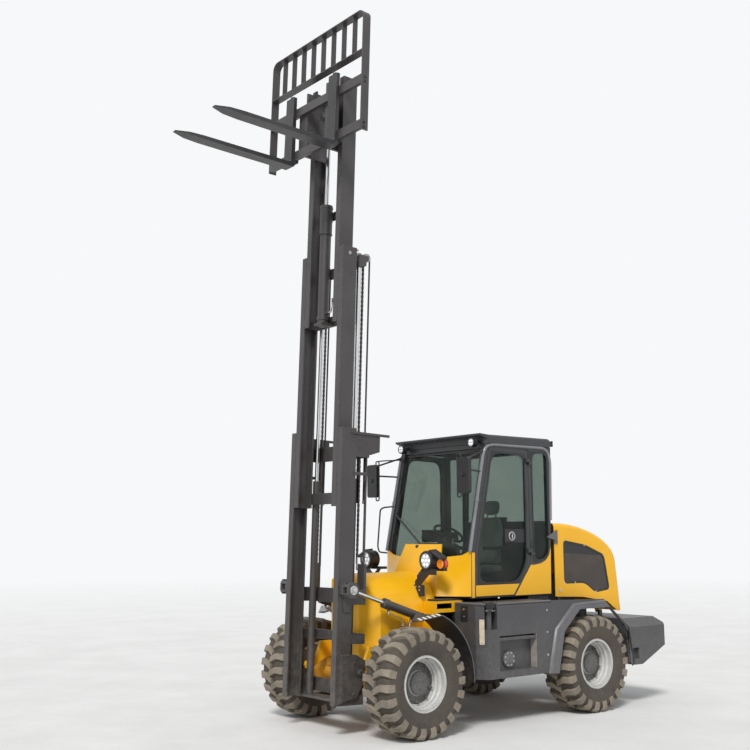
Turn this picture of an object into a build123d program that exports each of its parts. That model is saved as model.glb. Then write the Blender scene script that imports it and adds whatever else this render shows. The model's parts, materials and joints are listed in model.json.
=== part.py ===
"""Rough terrain forklift with a three-stage mast, raised. Millimetres, +X forward, +Y left, +Z up.

The pieces are drawn in an axle frame, with X = 0 at the front axle, and moved at the end so that the
origin lies on the ground below the middle of the whole machine. Mast pieces are drawn upright and
leaned back about the mast pivot by the lean that the machine stands with.
"""
import os
from math import cos, hypot, pi, radians, sin
from build123d import *

os.makedirs("parts", exist_ok=True)

# Running gear
WHEELBASE = 2600.0
TRACK = 1830.0
TYRE_R = 537.5
TYRE_HALF_W = 205.0
LUGS = 22
LUG_SHARE = 0.42
LUG_SWEEP = 0.30
LUG_BEND_Y = 60.0
SHOULDER_Y = 168.0
GROOVE_R = 505.0
SIDEWALL_R = 455.0
RIM_R = 262.0
RIM_FLANGE_R = 276.0
RIM_FLANGE_T = 8.0
RIM_HALF_W = 165.0
DISC_OFFSET = 15.0
DISC_T = 14.0
HUB_R = 150.0
DRUM_L = 95.0
HUB_CAP_R = 112.0
HUB_CAP_OUT = 78.0
SPINDLE_R = 60.0
SPINDLE_L = 90.0
RUN_FIT = 0.05
SEAT_GAP = 0.3
KINGPIN_Y = 660.0
KINGPIN_R = 26.0
AXLE_R = 105.0
DIFF_R = 190.0
BRAKE_R = 140.0

# Chassis
RAIL_Y = 350.0
RAIL_T = 40.0
RAIL_Z0 = 700.0
RAIL_Z1 = 930.0
TIE_T = 60.0
DECK_T = 20.0
FRAME_FRONT_X = 180.0
NOSE_X = -735.0
NOSE_TAPER_X = 40.0
NOSE_TAPER_Y = 240.0
FRONT_HALF_W = 430.0
FRONT_PLATE = 25.0
COVER_TOP_Z = 1590.0
FRONT_LOW_Z = 680.0
BOX_Y = 600.0
BOX_X0 = -970.0
BOX_X1 = -560.0
BOX_Z0 = 760.0
BODY_HALF_W = 1050.0
TANK_X0 = -1885.0
TANK_X1 = -840.0
TANK_Z0 = 495.0
TANK_Z1 = 1270.0
TANK_IN_Y = 390.0
TANK_ROUND = 45.0
CW_X0 = -3965.0
CW_X1 = -3330.0
CW_Z0 = 465.0
CW_Z1 = 1000.0
CW_BEVEL = 100.0
CW_WING_Y = 620.0
TOW_X = CW_X0 + 95
TOW_R = 16.0
ARCH_OUT_Y = 1080.0
ARCH_SHEET = 15.0
FENDER_R = 700.0
FENDER_T = 8.0
FENDER_IN_Y = 620.0
LUG_Y0 = 400.0
LUG_Y1 = 440.0

# Cab and hood
CAB_HALF_W = 720.0
CAB_REAR_X = -2320.0
CAB_FLOOR_Z = 1310.0
CAB_GAP = 20.0
FLOOR_T = 30.0
SILL_FRONT_X = -990.0
PILLAR_FOOT_Z = 1800.0
ROOF_FRONT_X = -1245.0
CAB_EAVE_Z = 3010.0
ROOF_TOP_Z = 3110.0
VISOR_X = -1150.0
PILLAR = 60.0
COWL_TOP_Z = 1890.0
COWL_DIP_Z = 1745.0
COWL_WALL = 20.0
DOOR_REAR_X = -1925.0
DOOR_CUT_Z = 1660.0
DOOR_FOOT_X = -1650.0
DOOR_T = 35.0
DOOR_GAP = 6.0
DOOR_PIN = (DOOR_REAR_X - 6, CAB_HALF_W + 16)
DOOR_PIN_R = 8.0
HINGE_EYE_R = 12.5
HINGE_REACH = 55.0
HINGE_ZS = (1760.0, 2790.0)
HINGE_LUG_H = 30.0
HINGE_EYE_H = 40.0
GLASS_T = 6.0
WINDOW_ROUND = 40.0
HOOD_HALF_W = 715.0
HOOD_X1 = CAB_REAR_X - 25
HOOD_X0 = -3545.0
HOOD_TOP_Z = 2125.0
HOOD_FOOT_Z = 1280.0
HOOD_WALL = 8.0
HOOD_HINGE = (HOOD_X0 - 15, CW_Z1 + 50)
HINGE_R = 12.0
ENGINE_X0 = HOOD_X0 + 395
ENGINE_X1 = HOOD_X1 - 105

# Mast, drawn upright
PIVOT_X = 360.0
PIVOT_Z = 620.0
PIVOT_R = 30.0
LEAN = 2.1
RAIL_FRONT = 650.0
RAIL_DEPTH = 185.0
RAIL_REAR = RAIL_FRONT - RAIL_DEPTH
STAGE_L = 2790.0
MAST_Z0 = 305.0
STAGE_UP = 1975.0
FREE_UP = 2110.0
OUTER_Y = 464.0
FLANGE_W = 77.0
FLANGE_T = 18.0
WEB_T = 16.0
STAGE_GAP = 5.0
MID_Y = OUTER_Y - FLANGE_W - STAGE_GAP
INNER_Y = MID_Y - FLANGE_W - STAGE_GAP
MID_Z0 = MAST_Z0 + STAGE_UP
INNER_Z0 = MID_Z0 + STAGE_UP
MID_TOP = MID_Z0 + STAGE_L
CROSS_T = 12.0
CROSS_REAR = RAIL_REAR - 175
PLATE_T = 25.0
FOOT_T = 25.0
EAR_T = 30.0
LIFT_X = RAIL_REAR - 73
LIFT_Y = 330.0
LIFT_BARREL_R = 40.0
LIFT_ROD_R = 25.0
LIFT_GLAND_Z = MID_Z0 + 300
HEAD_Z = MID_TOP - 190
HEAD_T = 25.0
HEAD_Y = 384.0
CHAIN_W = 24.0
CHAIN_T = 20.0
SHEAVE_R = 45.0
SHEAVE_Z = MID_TOP - 95
SHEAVE_PIN_R = 16.0
WRAP_SIDES = 6
CHAIN_END_Z = MID_Z0 + 40
HOSE_X = LIFT_X - 74
HOSE_Y = 360.0
HOSE_Z = MID_TOP - 80
PULLEY_R = 34.0
ARM_Z0 = INNER_Z0 + 190
ARM_Z1 = ARM_Z0 + 60
ARM_Y = 343.0
ANCHOR_Z = 1640.0
ANCHOR_TOP_Z = MID_Z0 + 620
FREE_X = 575.0
FREE_Y = -60.0
FREE_R = 62.0
FREE_COLLAR_R = FREE_R + 8
FREE_ROD_R = 25.0
FREE_FOOT_Z = INNER_Z0 + 30
FREE_GLAND_Z = INNER_Z0 + 1375
FREE_HEAD_Z = FREE_GLAND_Z + FREE_UP / 2 + 15
CARRIAGE_FACE = 843.0
FORK_Z0 = 6106.0
FORK_W = 150.0
FORK_T = 50.0
FORK_REACH = 1480.0
FORK_TIP_RISE = 26.0
FORK_Y = 410.0
SHANK_H = 834.0
BAR_Z = FORK_Z0 + 84
BAR_H = 100.0
BAR_STEP = 510.0
BACKREST_HALF_W = 865.0
BACKREST_TOP = FORK_Z0 + 1444
BACKREST_RAIL_DROP = 475.0
BACKREST_D = 97.0
BACKREST_ROUND = 90.0
BACKREST_BARS = 8
BAR_T = 12.0

# Tilt cylinders
TILT_Y = 555.0
TILT_A = (-400.0, 1135.0)
TILT_B = (530.0, 1445.0)
TILT_PIN_R = 20.0
TILT_BARREL_R = 45.0
TILT_ROD_R = 22.0
TILT_GLAND = 530.0


def box(x0, x1, y0, y1, z0, z1):
    """Axis-aligned block between two corners."""
    return Pos((x0 + x1) / 2, (y0 + y1) / 2, (z0 + z1) / 2) * Box(abs(x1 - x0), abs(y1 - y0), abs(z1 - z0))


def rod(p, q, radius):
    """Round bar from point p to point q."""
    p, q = Vector(*p), Vector(*q)
    bar = Cylinder(radius, (q - p).length, align=(Align.CENTER, Align.CENTER, Align.MIN))
    return Plane(origin=p, z_dir=q - p) * bar


def cross_rod(x, z, y0, y1, radius):
    """Round bar along Y."""
    return rod((x, y0, z), (x, y1, z), radius)


def upright_rod(x, y, z0, z1, radius):
    """Round bar along Z."""
    return rod((x, y, z0), (x, y, z1), radius)


def outline(points, round_r=0.0):
    """Closed face from points in the plane of two axes, corners rounded when asked."""
    face = make_face(Polyline(*points, close=True))
    return fillet(face.vertices(), round_r) if round_r else face


def grow(points, amount):
    """Face of a closed outline moved outward."""
    return offset(outline(points), amount=amount, kind=Kind.INTERSECTION)


def slab(face, y0, y1):
    """A face drawn in X, Z extruded from y0 to y1."""
    return extrude(Pos(0, y0, 0) * (Plane.XZ * face), amount=y1 - y0, dir=(0, 1, 0))


def slab_xz(points, y0, y1):
    """Outline in X, Z extruded from y0 to y1."""
    return slab(outline(points), y0, y1)


def slab_xy(points, z0, z1):
    """Outline in X, Y extruded from z0 to z1."""
    return extrude(Pos(0, 0, z0) * outline(points), amount=z1 - z0)


def facing_front(x, z=0.0):
    """Drawing plane across the machine at x: its own axes run along Y and Z."""
    return Plane(origin=(x, 0, z), x_dir=(0, 1, 0), z_dir=(1, 0, 0))


def slab_yz(points, x0, x1):
    """Outline in Y, Z extruded from x0 to x1."""
    return extrude(facing_front(x0) * outline(points), amount=x1 - x0)


def turned(points):
    """Ring about the Y axis from (radius, y) points."""
    return revolve(make_face(Polyline(*[(r, y, 0) for r, y in points], close=True)), Axis.Y)


def mirrored(part):
    """The right-hand copy of a left-hand piece."""
    return mirror(part, about=Plane.XZ)


def both(*parts):
    """Left-hand pieces and their mirror images."""
    return [*parts, *[mirrored(part) for part in parts]]


def fuse(*parts):
    """One solid from pieces that touch."""
    first, *rest = parts
    return first.fuse(*rest).clean() if rest else first


def lean(part):
    """Mast piece leaned back about its pivot."""
    return part.rotate(Axis((PIVOT_X, 0, PIVOT_Z), (0, 1, 0)), -LEAN)


def leaned(x, z, angle=LEAN):
    """Where a point of the upright mast comes to when the mast leans back by an angle."""
    a = radians(angle)
    dx, dz = x - PIVOT_X, z - PIVOT_Z
    return PIVOT_X + dx * cos(a) - dz * sin(a), PIVOT_Z + dx * sin(a) + dz * cos(a)


FORK_TIP_X = leaned(CARRIAGE_FACE + FORK_REACH, FORK_Z0 + FORK_TIP_RISE)[0]
SHIFT_X = -(CW_X0 + FORK_TIP_X) / 2
TILT_B_UP = leaned(*TILT_B, angle=-LEAN)
NODES = {}


def keep(name, *parts):
    """Store a node, moved to the machine's own origin."""
    solids = [solid for part in parts for solid in part.solids()]
    NODES[name] = Compound([solid.moved(Location((SHIFT_X, 0, 0))) for solid in solids])


# Wheels
def tyre_solid():
    """Tyre with bar lugs: the two halves stand half a pitch apart and their inner ends bend forward."""
    pitch = 2 * pi / LUGS
    half = LUG_SHARE / 2 * pitch
    sweep = LUG_SWEEP * pitch
    crown = TYRE_R / cos(half)
    bore = (RIM_FLANGE_R + SEAT_GAP) / cos(pitch / 2 - half)
    faces = []

    def spot(radius, angle, y):
        return Vector(radius * cos(angle), y, radius * sin(angle))

    def patch(*points):
        faces.append(Face(Wire.make_polygon(points, close=True)))

    for side, start in ((1, 0.0), (-1, 0.5)):
        for i in range(LUGS):
            mid = (i + start) * pitch - pi / 2
            a, b, c = mid - half, mid + half, mid + pitch - half
            top_a0, top_b0 = spot(TYRE_R, a + sweep, 0), spot(TYRE_R, b + sweep, 0)
            low_a0, low_b0, low_c0 = [spot(GROOVE_R, angle + sweep, 0) for angle in (a, b, c)]
            other_a, other_b = [spot(GROOVE_R, mid + pitch / 2 + d + sweep, 0) for d in (-half, half)]
            top_a1, top_b1 = [spot(crown, angle, side * LUG_BEND_Y) for angle in (a, b)]
            top_a2, top_b2 = [spot(crown, angle, side * SHOULDER_Y) for angle in (a, b)]
            low_a1, low_b1, low_c1 = [spot(GROOVE_R, angle, side * LUG_BEND_Y) for angle in (a, b, c)]
            low_a2, low_b2, low_c2 = [spot(GROOVE_R, angle, side * SHOULDER_Y) for angle in (a, b, c)]
            wall_a, wall_b, wall_c = [spot(SIDEWALL_R, angle, side * TYRE_HALF_W) for angle in (a, b, c)]
            patch(low_a0, top_a0, top_b0, low_b0)
            patch(top_a0, top_b0, top_b1)
            patch(top_a0, top_b1, top_a1)
            patch(low_a0, top_a0, top_a1)
            patch(low_a0, top_a1, low_a1)
            patch(low_b0, top_b0, top_b1)
            patch(low_b0, top_b1, low_b1)
            patch(low_b1, low_b0, other_a)
            patch(low_b1, other_a, other_b)
            patch(low_b1, other_b, low_c1)
            patch(other_b, low_c0, low_c1)
            patch(top_a1, top_b1, top_b2, top_a2)
            patch(low_a1, top_a1, top_a2, low_a2)
            patch(low_b1, top_b1, top_b2, low_b2)
            patch(low_b1, low_c1, low_c2, low_b2)
            patch(top_a2, top_b2, wall_b, wall_a)
            patch(low_a2, top_a2, wall_a)
            patch(low_b2, top_b2, wall_b)
            patch(low_b2, low_c2, wall_c, wall_b)
            rim_y = side * RIM_HALF_W
            if side > 0:
                bead_a, bead_b, bead_c = [spot(bore, angle, rim_y) for angle in (a, b, c)]
                far_a, far_b, far_c = [spot(bore, angle, -rim_y) for angle in (a, b, c)]
                patch(wall_a, wall_b, bead_b, bead_a)
                patch(wall_b, wall_c, bead_c, bead_b)
                patch(bead_a, bead_b, far_b, far_a)
                patch(bead_b, bead_c, far_c, far_b)
            else:
                bead_a, bead_b, bead_c = [spot(bore, mid + d, rim_y) for d in
                                          (half - pitch / 2, pitch / 2 - half, pitch / 2 + half)]
                patch(wall_a, bead_a, bead_b)
                patch(wall_a, bead_b, wall_b)
                patch(wall_b, bead_b, wall_c)
                patch(bead_b, bead_c, wall_c)
    return Solid(Shell(faces))


RIM_STEPS = (  # bore radius, y from the wheel's middle, outboard face first
    (252, RIM_HALF_W),
    (250, 118),
    (236, 104),
    (232, 72),
    (222, 60),
    (220, DISC_OFFSET + DISC_T),
)


def rim_solid():
    """Left rim with its stepped bore, dished disc and planetary hub."""
    w = RIM_HALF_W
    seat_y = w - RIM_FLANGE_T
    y0, y1 = DISC_OFFSET, DISC_OFFSET + DISC_T
    back_r, web_r = RIM_STEPS[1][0], RIM_STEPS[-1][0]
    barrel = turned([(back_r, -w), (RIM_FLANGE_R, -w), (RIM_FLANGE_R, -seat_y), (RIM_R, -seat_y),
                     (RIM_R, seat_y), (RIM_FLANGE_R, seat_y), (RIM_FLANGE_R, w), *RIM_STEPS, (web_r, y0),
                     (back_r, y0 - 10)])
    centre = turned([(0, y0 - DRUM_L), (HUB_R, y0 - DRUM_L), (HUB_R, y0), (web_r + 5, y0), (web_r + 5, y1),
                     (HUB_R + 12, y1), (HUB_R, y1 + 8), (HUB_CAP_R + 16, y1 + 10),
                     (HUB_CAP_R + 4, HUB_CAP_OUT - 12), (HUB_CAP_R - 6, HUB_CAP_OUT), (0, HUB_CAP_OUT)])
    bore = cross_rod(0, 0, y0 - DRUM_L - 1, y0 - DRUM_L + SPINDLE_L + 2, SPINDLE_R + RUN_FIT)
    return fuse(barrel, centre) - bore


HUB_IN_Y = TRACK / 2 + DISC_OFFSET - DRUM_L
WHEELS = (  # name, axle x, is on the left
    ("front_left", 0.0, True),
    ("front_right", 0.0, False),
    ("rear_left", -WHEELBASE, True),
    ("rear_right", -WHEELBASE, False),
)
TYRE = tyre_solid()
RIM = rim_solid()
for name, axle_x, is_left in WHEELS:
    for node, shape in (("tyre_", TYRE), ("rim_", RIM)):
        placed = Pos(axle_x, TRACK / 2, TYRE_R) * shape
        keep(node + name, placed if is_left else mirrored(placed))


# Axles and knuckles, drawn about the axle line
def front_axle():
    """Housing with a differential bulge, brake ends, spindles and pads to the frame."""
    housing = turned([(0, 0), (DIFF_R, 0), (DIFF_R, 110), (AXLE_R + 20, 230), (AXLE_R, 300),
                      (AXLE_R, BOX_Y - 40), (BRAKE_R, BOX_Y), (BRAKE_R, HUB_IN_Y - 12), (0, HUB_IN_Y - 12)])
    spindle = cross_rod(0, 0, HUB_IN_Y - 13, HUB_IN_Y + SPINDLE_L, SPINDLE_R)
    pad = box(-AXLE_R, AXLE_R, FRONT_HALF_W - 120, FRONT_HALF_W, AXLE_R - 45, FRONT_LOW_Z - TYRE_R)
    nose = rod((0, 0, 0), (-330, 0, 30), AXLE_R)
    return Pos(0, 0, TYRE_R) * fuse(*both(fuse(housing, spindle, pad)), nose)


YOKE_X = 55.0
YOKE_Z0 = 95.0
YOKE_Z1 = 130.0


def rear_axle():
    """Beam with a yoke and kingpins at each end and a saddle up to the frame."""
    beam_end = KINGPIN_Y - 140
    beam = turned([(0, 0), (DIFF_R, 0), (DIFF_R, 90), (AXLE_R + 10, 210), (AXLE_R - 10, 280),
                   (AXLE_R - 10, beam_end), (0, beam_end)])
    parts = [beam, box(-YOKE_X, YOKE_X, beam_end - 30, beam_end + 10, -YOKE_Z1, YOKE_Z1)]
    for s in (1, -1):
        parts.append(box(-YOKE_X, YOKE_X, beam_end - 20, KINGPIN_Y + 45, s * YOKE_Z0, s * YOKE_Z1))
        parts.append(upright_rod(0, KINGPIN_Y, s * (YOKE_Z0 - 35), s * (YOKE_Z1 + 10), KINGPIN_R))
    nose = rod((0, 0, 0), (330, 0, 20), AXLE_R - 5)
    saddle_y = RAIL_Y + RAIL_T
    saddle = box(-90, 90, -saddle_y, saddle_y, DIFF_R - 40, RAIL_Z0 - TYRE_R)
    return Pos(-WHEELBASE, 0, TYRE_R) * fuse(*both(fuse(*parts)), nose, saddle)


def knuckle():
    """Left steering knuckle between the yoke's arms, with its spindle and steering arm."""
    top = YOKE_Z0 - 5
    block = box(-60, 60, KINGPIN_Y - 50, KINGPIN_Y + 50, -top, top)
    boss = cross_rod(0, 0, KINGPIN_Y, HUB_IN_Y - 6, top - 2)
    spindle = cross_rod(0, 0, HUB_IN_Y - 8, HUB_IN_Y + SPINDLE_L, SPINDLE_R)
    arm = box(-200, -50, KINGPIN_Y - 42, KINGPIN_Y - 14, -20, 20)
    body = fuse(block, boss, spindle, arm)
    for s in (1, -1):
        body = body - upright_rod(0, KINGPIN_Y, s * (YOKE_Z0 - 35.5), s * (top + 1), KINGPIN_R + RUN_FIT)
    return Pos(-WHEELBASE, 0, TYRE_R) * body


keep("front_axle", front_axle())
keep("rear_axle", rear_axle())
keep("knuckle_left", knuckle())
keep("knuckle_right", mirrored(knuckle()))


# Chassis
TIE_XS = (CW_X1, -2100.0, -1300.0)
CAB_BEAM_XS = (CAB_REAR_X + 70, BOX_X0 - 180)


def chassis():
    """Two rails with ties and a deck, posts and beams under the cab and bearers under the engine."""
    rail_out = RAIL_Y + RAIL_T
    beam_z = CAB_FLOOR_Z - 30
    parts = both(box(CW_X1, NOSE_X, RAIL_Y, rail_out, RAIL_Z0, RAIL_Z1))
    parts += [box(x, x + TIE_T, -RAIL_Y, RAIL_Y, RAIL_Z0, RAIL_Z1) for x in TIE_XS]
    parts.append(box(CAB_REAR_X + 20, BOX_X0, -RAIL_Y, RAIL_Y, RAIL_Z1 - DECK_T, RAIL_Z1))
    for x in CAB_BEAM_XS:
        parts += both(box(x, x + 80, rail_out - TIE_T, rail_out, RAIL_Z1, beam_z))
        parts.append(box(x, x + 80, -TANK_IN_Y, TANK_IN_Y, beam_z, CAB_FLOOR_Z))
    for x in (ENGINE_X0 + 50, ENGINE_X1 - 60):
        parts.append(box(x, x + TIE_T, -RAIL_Y, RAIL_Y, RAIL_Z0 + 35, RAIL_Z0 + 60))
    return fuse(*parts)


def tunnel(half_w, top_z, low_z, x0, x1):
    """Straight-sided block under a half round top, from x0 to x1."""
    spring = top_z - half_w
    sides = Polyline((-half_w, spring), (-half_w, low_z), (half_w, low_z), (half_w, spring))
    face = make_face(sides + ThreePointArc((half_w, spring), (0, top_z), (-half_w, spring)))
    return extrude(facing_front(x0) * face, amount=x1 - x0)


def nose_taper(inset):
    """What the slanted front corners take off the left side, moved in by an inset."""
    far_x, far_y = FRAME_FRONT_X + 1, FRONT_HALF_W + 1
    start_x = NOSE_TAPER_X - inset
    return slab_xy([(start_x, far_y), (far_x, far_y), (far_x, NOSE_TAPER_Y - inset),
                    (start_x, FRONT_HALF_W - inset)], FRONT_LOW_Z - 10, COVER_TOP_Z + 10)


BOX_POCKETS = (  # x0, x1, z0, z1
    (BOX_X0 + 160, BOX_X1 - 35, CAB_FLOOR_Z - 100, CAB_FLOOR_Z - 45),
    (BOX_X0 + 115, BOX_X1 - 25, CAB_FLOOR_Z - 275, CAB_FLOOR_Z - 140),
)


def front_frame():
    """Yellow nose: arched shell between mast and cab, tapered in front, with side boxes and mast lugs."""
    inset = FRONT_PLATE
    outer = tunnel(FRONT_HALF_W, COVER_TOP_Z, FRONT_LOW_Z, NOSE_X, FRAME_FRONT_X)
    inner = tunnel(FRONT_HALF_W - inset, COVER_TOP_Z - inset, FRONT_LOW_Z - 5, NOSE_X + inset,
                   FRAME_FRONT_X - inset)
    for taper in both(nose_taper(0)):
        outer = outer - taper
    for taper in both(nose_taper(inset)):
        inner = inner - taper
    side_box = box(BOX_X0, BOX_X1, FRONT_HALF_W - 1, BOX_Y, BOX_Z0, CAB_FLOOR_Z - CAB_GAP)
    for x0, x1, z0, z1 in BOX_POCKETS:
        side_box = side_box - box(x0, x1, BOX_Y - 60, BOX_Y + 1, z0, z1)
    lug = slab_xz([(PIVOT_X - 30, PIVOT_Z - 38), (PIVOT_X + 30, PIVOT_Z - 38), (PIVOT_X + 46, PIVOT_Z),
                   (PIVOT_X + 30, PIVOT_Z + 40), (PIVOT_X - 80, PIVOT_Z + 42), (PIVOT_X - 160, PIVOT_Z + 240),
                   (-200, PIVOT_Z + 240), (-200, PIVOT_Z + 70), (120, PIVOT_Z + 70)], LUG_Y0, LUG_Y1)
    pivot = cross_rod(PIVOT_X, PIVOT_Z, LUG_Y0 + 1, OUTER_Y + EAR_T + 6, PIVOT_R)
    ax, az = TILT_A
    anchor = box(ax - 60, ax + 60, FRONT_HALF_W - 1, TILT_Y - 51, az - 55, az + 55)
    anchor_pin = cross_rod(ax, az, TILT_Y - 52, TILT_Y + 45, TILT_PIN_R)
    return fuse(outer - inner, *both(side_box, lug, pivot, anchor, anchor_pin))


TANK_STEP = (TANK_X0 + 245, TANK_X0 + 810)
CAP_X = TANK_X1 - 125


def tank():
    """Left tank: slanted front, rounded top edge, filler recess with its cap, step recess with a flange."""
    front = BOX_X0 - 20
    body = slab_xy([(TANK_X0, TANK_IN_Y), (front, TANK_IN_Y), (front, BOX_Y + 15), (TANK_X1, BOX_Y + 15),
                    (TANK_X1, BODY_HALF_W - 120), (TANK_X1 - 70, BODY_HALF_W), (TANK_X0, BODY_HALF_W)],
                   TANK_Z0, TANK_Z1)
    body = fillet(body.edges().filter_by(Axis.X).group_by(Axis.Z)[-1].sort_by(Axis.Y)[-1:], TANK_ROUND)
    x0, x1 = TANK_STEP
    body = body - box(x0, x1, BODY_HALF_W - 90, BODY_HALF_W + 1, TANK_Z0 + 70, TANK_Z0 + 435)
    body = body - box(CAP_X - 80, CAP_X + 75, BODY_HALF_W - 110, BODY_HALF_W + 1, TANK_Z1 - 270, TANK_Z1 + 1)
    cap_y = BODY_HALF_W - 55
    neck = upright_rod(CAP_X, cap_y, TANK_Z1 - 271, TANK_Z1 - 80, 34)
    cap = upright_rod(CAP_X, cap_y, TANK_Z1 - 81, TANK_Z1 - 4, 50)
    step = box(x0 - 1, x1 + 1, BODY_HALF_W - 91, BODY_HALF_W - 4, TANK_Z0 + 385, TANK_Z0 + 410)
    flange = cross_rod(x1 - 205, TANK_Z0 + 180, BODY_HALF_W - 91, BODY_HALF_W - 70, 88)
    return fuse(body, neck, cap, step, flange)


def counterweight():
    """Cast weight with bevelled edges, wings that reach round the frame, side pockets and the tow jaw."""
    body = slab_xz([(CW_X1, CW_Z0), (CW_X1, CW_Z1), (CW_X0 + 1.35 * CW_BEVEL, CW_Z1),
                    (CW_X0, CW_Z1 - CW_BEVEL), (CW_X0, CW_Z0 + 220), (CW_X1 - 145, CW_Z0)],
                   -BODY_HALF_W, BODY_HALF_W)
    wing = slab_xz([(CW_X1 - 1, CW_Z0), (CW_X1 + 10, CW_Z0), (CW_X1 + 105, CW_Z1), (CW_X1 - 1, CW_Z1)],
                   CW_WING_Y, BODY_HALF_W)
    body = fuse(body, *both(wing))
    edge, low = BODY_HALF_W - CW_BEVEL, CW_Z1 - CW_BEVEL
    over, top = BODY_HALF_W + 1, CW_Z1 + 1
    bevel = slab_yz([(edge, top), (over, top), (over, low)], CW_X0 - 1, CW_X1 + 200)
    corner = slab_xy([(CW_X0 - 1, over - 90), (CW_X0 - 1, over), (CW_X0 + 50, over)], CW_Z0 - 1, top)
    pocket = box(CW_X1 - 80, CW_X1 + 40, BODY_HALF_W - 50, over, CW_Z0 + 65, CW_Z0 + 195)
    for cut in both(bevel, corner, pocket):
        body = body - cut
    jaw = box(CW_X0 - 1, TOW_X + 45, -60, 60, CW_Z0 + 235, CW_Z0 + 295)
    body = body - jaw - upright_rod(TOW_X, 0, CW_Z0 + 195, top, TOW_R)
    x, z = HOOD_HINGE
    lug = box(x - 25, x + 25, 340, 370, CW_Z1 - 1, z + 14)
    return fuse(body, *both(lug, cross_rod(x, z, 290, 369, HINGE_R)))


ARCH_OUT = ((-1818, 491), (-1937, 959), (-2243, 1222), (-2768, 1244), (-3012, 1066), (-3168, 926),
            (-3268, 459))  # x, z
ARCH_IN = ((-1962, 479), (-2068, 924), (-2338, 1155), (-2866, 1156), (-3112, 955), (-3215, 505))


def rear_fender():
    """Left side panel behind the tank, the folded arch flare on it, and the mudguard over the tyre."""
    panel_y = BODY_HALF_W - ARCH_SHEET + 2
    panel = slab_xz([(TANK_X0, TANK_Z0 + 10), (TANK_X0, TANK_Z1), (-2805, TANK_Z1 - 20), (-2805, 1200),
                     (-2300, 1190), (-2000, 940), (-1900, TANK_Z0 + 10)], panel_y, BODY_HALF_W + 1)
    flare = slab_xz([*ARCH_OUT, *reversed(ARCH_IN)], BODY_HALF_W, ARCH_OUT_Y)
    z = ARCH_IN[2][1] + 8
    rail_out = RAIL_Y + RAIL_T
    guard = box(ARCH_IN[3][0], ARCH_IN[2][0], rail_out + 20, BODY_HALF_W + 1, z, z + 18)
    bracket = box(-WHEELBASE - 50, -WHEELBASE + 30, rail_out, rail_out + 22, RAIL_Z0 + 30, z + 18)
    stop = box(HOOD_X1 - 75, HOOD_X1 - 35, HOOD_HALF_W - 30, HOOD_HALF_W, z + 17, HOOD_FOOT_Z - 4)
    return fuse(panel, flare, guard, bracket, stop)


def front_fender():
    """Left front mudguard sheet with its bracket to the side box."""
    ends = (radians(102), radians(184))
    radii = (FENDER_R, FENDER_R - FENDER_T)

    def at(r, a):
        return (r * cos(a), TYRE_R + r * sin(a))

    arcs = [ThreePointArc(at(r, ends[0]), at(r, sum(ends) / 2), at(r, ends[1])) for r in radii]
    lines = [Line(at(radii[0], a), at(radii[1], a)) for a in ends]
    sheet = slab(make_face(Curve() + arcs + lines), FENDER_IN_Y, BODY_HALF_W)
    bracket = box(-FENDER_R - 20, -FENDER_R + 80, BOX_Y, FENDER_IN_Y + 10, BOX_Z0 + 30, BOX_Z0 + 340)
    bracket = bracket - cross_rod(0, TYRE_R, BOX_Y - 1, FENDER_IN_Y + 11, FENDER_R - FENDER_T / 2)
    return fuse(sheet, bracket)


keep("chassis_frame", chassis())
keep("front_frame", front_frame())
keep("tank_left", tank())
keep("tank_right", mirrored(tank()))
keep("counterweight", counterweight())
keep("fenders", *both(rear_fender(), front_fender()))
keep("engine_block", box(ENGINE_X0, ENGINE_X1, -300, 300, RAIL_Z0 + 60, RAIL_Z0 + 800))


# Cab
SIDE = [(CAB_REAR_X + 60, CAB_FLOOR_Z), (CAB_REAR_X, CAB_EAVE_Z), (ROOF_FRONT_X, CAB_EAVE_Z),
        (SILL_FRONT_X - 10, PILLAR_FOOT_Z), (SILL_FRONT_X, CAB_FLOOR_Z)]
DOOR = [(DOOR_FOOT_X, CAB_FLOOR_Z + 12), (DOOR_REAR_X, DOOR_CUT_Z), (DOOR_REAR_X, CAB_EAVE_Z - 55),
        (ROOF_FRONT_X - 62, CAB_EAVE_Z - 35), (SILL_FRONT_X - 72, PILLAR_FOOT_Z),
        (SILL_FRONT_X - 62, CAB_FLOOR_Z + 12)]
DOOR_WINDOW = [(DOOR_FOOT_X - 80, CAB_FLOOR_Z + 150), (DOOR_REAR_X + 48, DOOR_CUT_Z + 22),
               (DOOR_REAR_X + 48, CAB_EAVE_Z - 105), (ROOF_FRONT_X - 92, CAB_EAVE_Z - 90),
               (SILL_FRONT_X - 118, PILLAR_FOOT_Z), (SILL_FRONT_X - 108, CAB_FLOOR_Z + 150)]
QUARTER = [(CAB_REAR_X + 66, DOOR_CUT_Z + 80), (CAB_REAR_X + 62, CAB_EAVE_Z - 60),
           (DOOR_REAR_X - 62, CAB_EAVE_Z - 58), (DOOR_REAR_X - 62, DOOR_CUT_Z + 10)]
WAIST_Z = 2150.0


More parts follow.
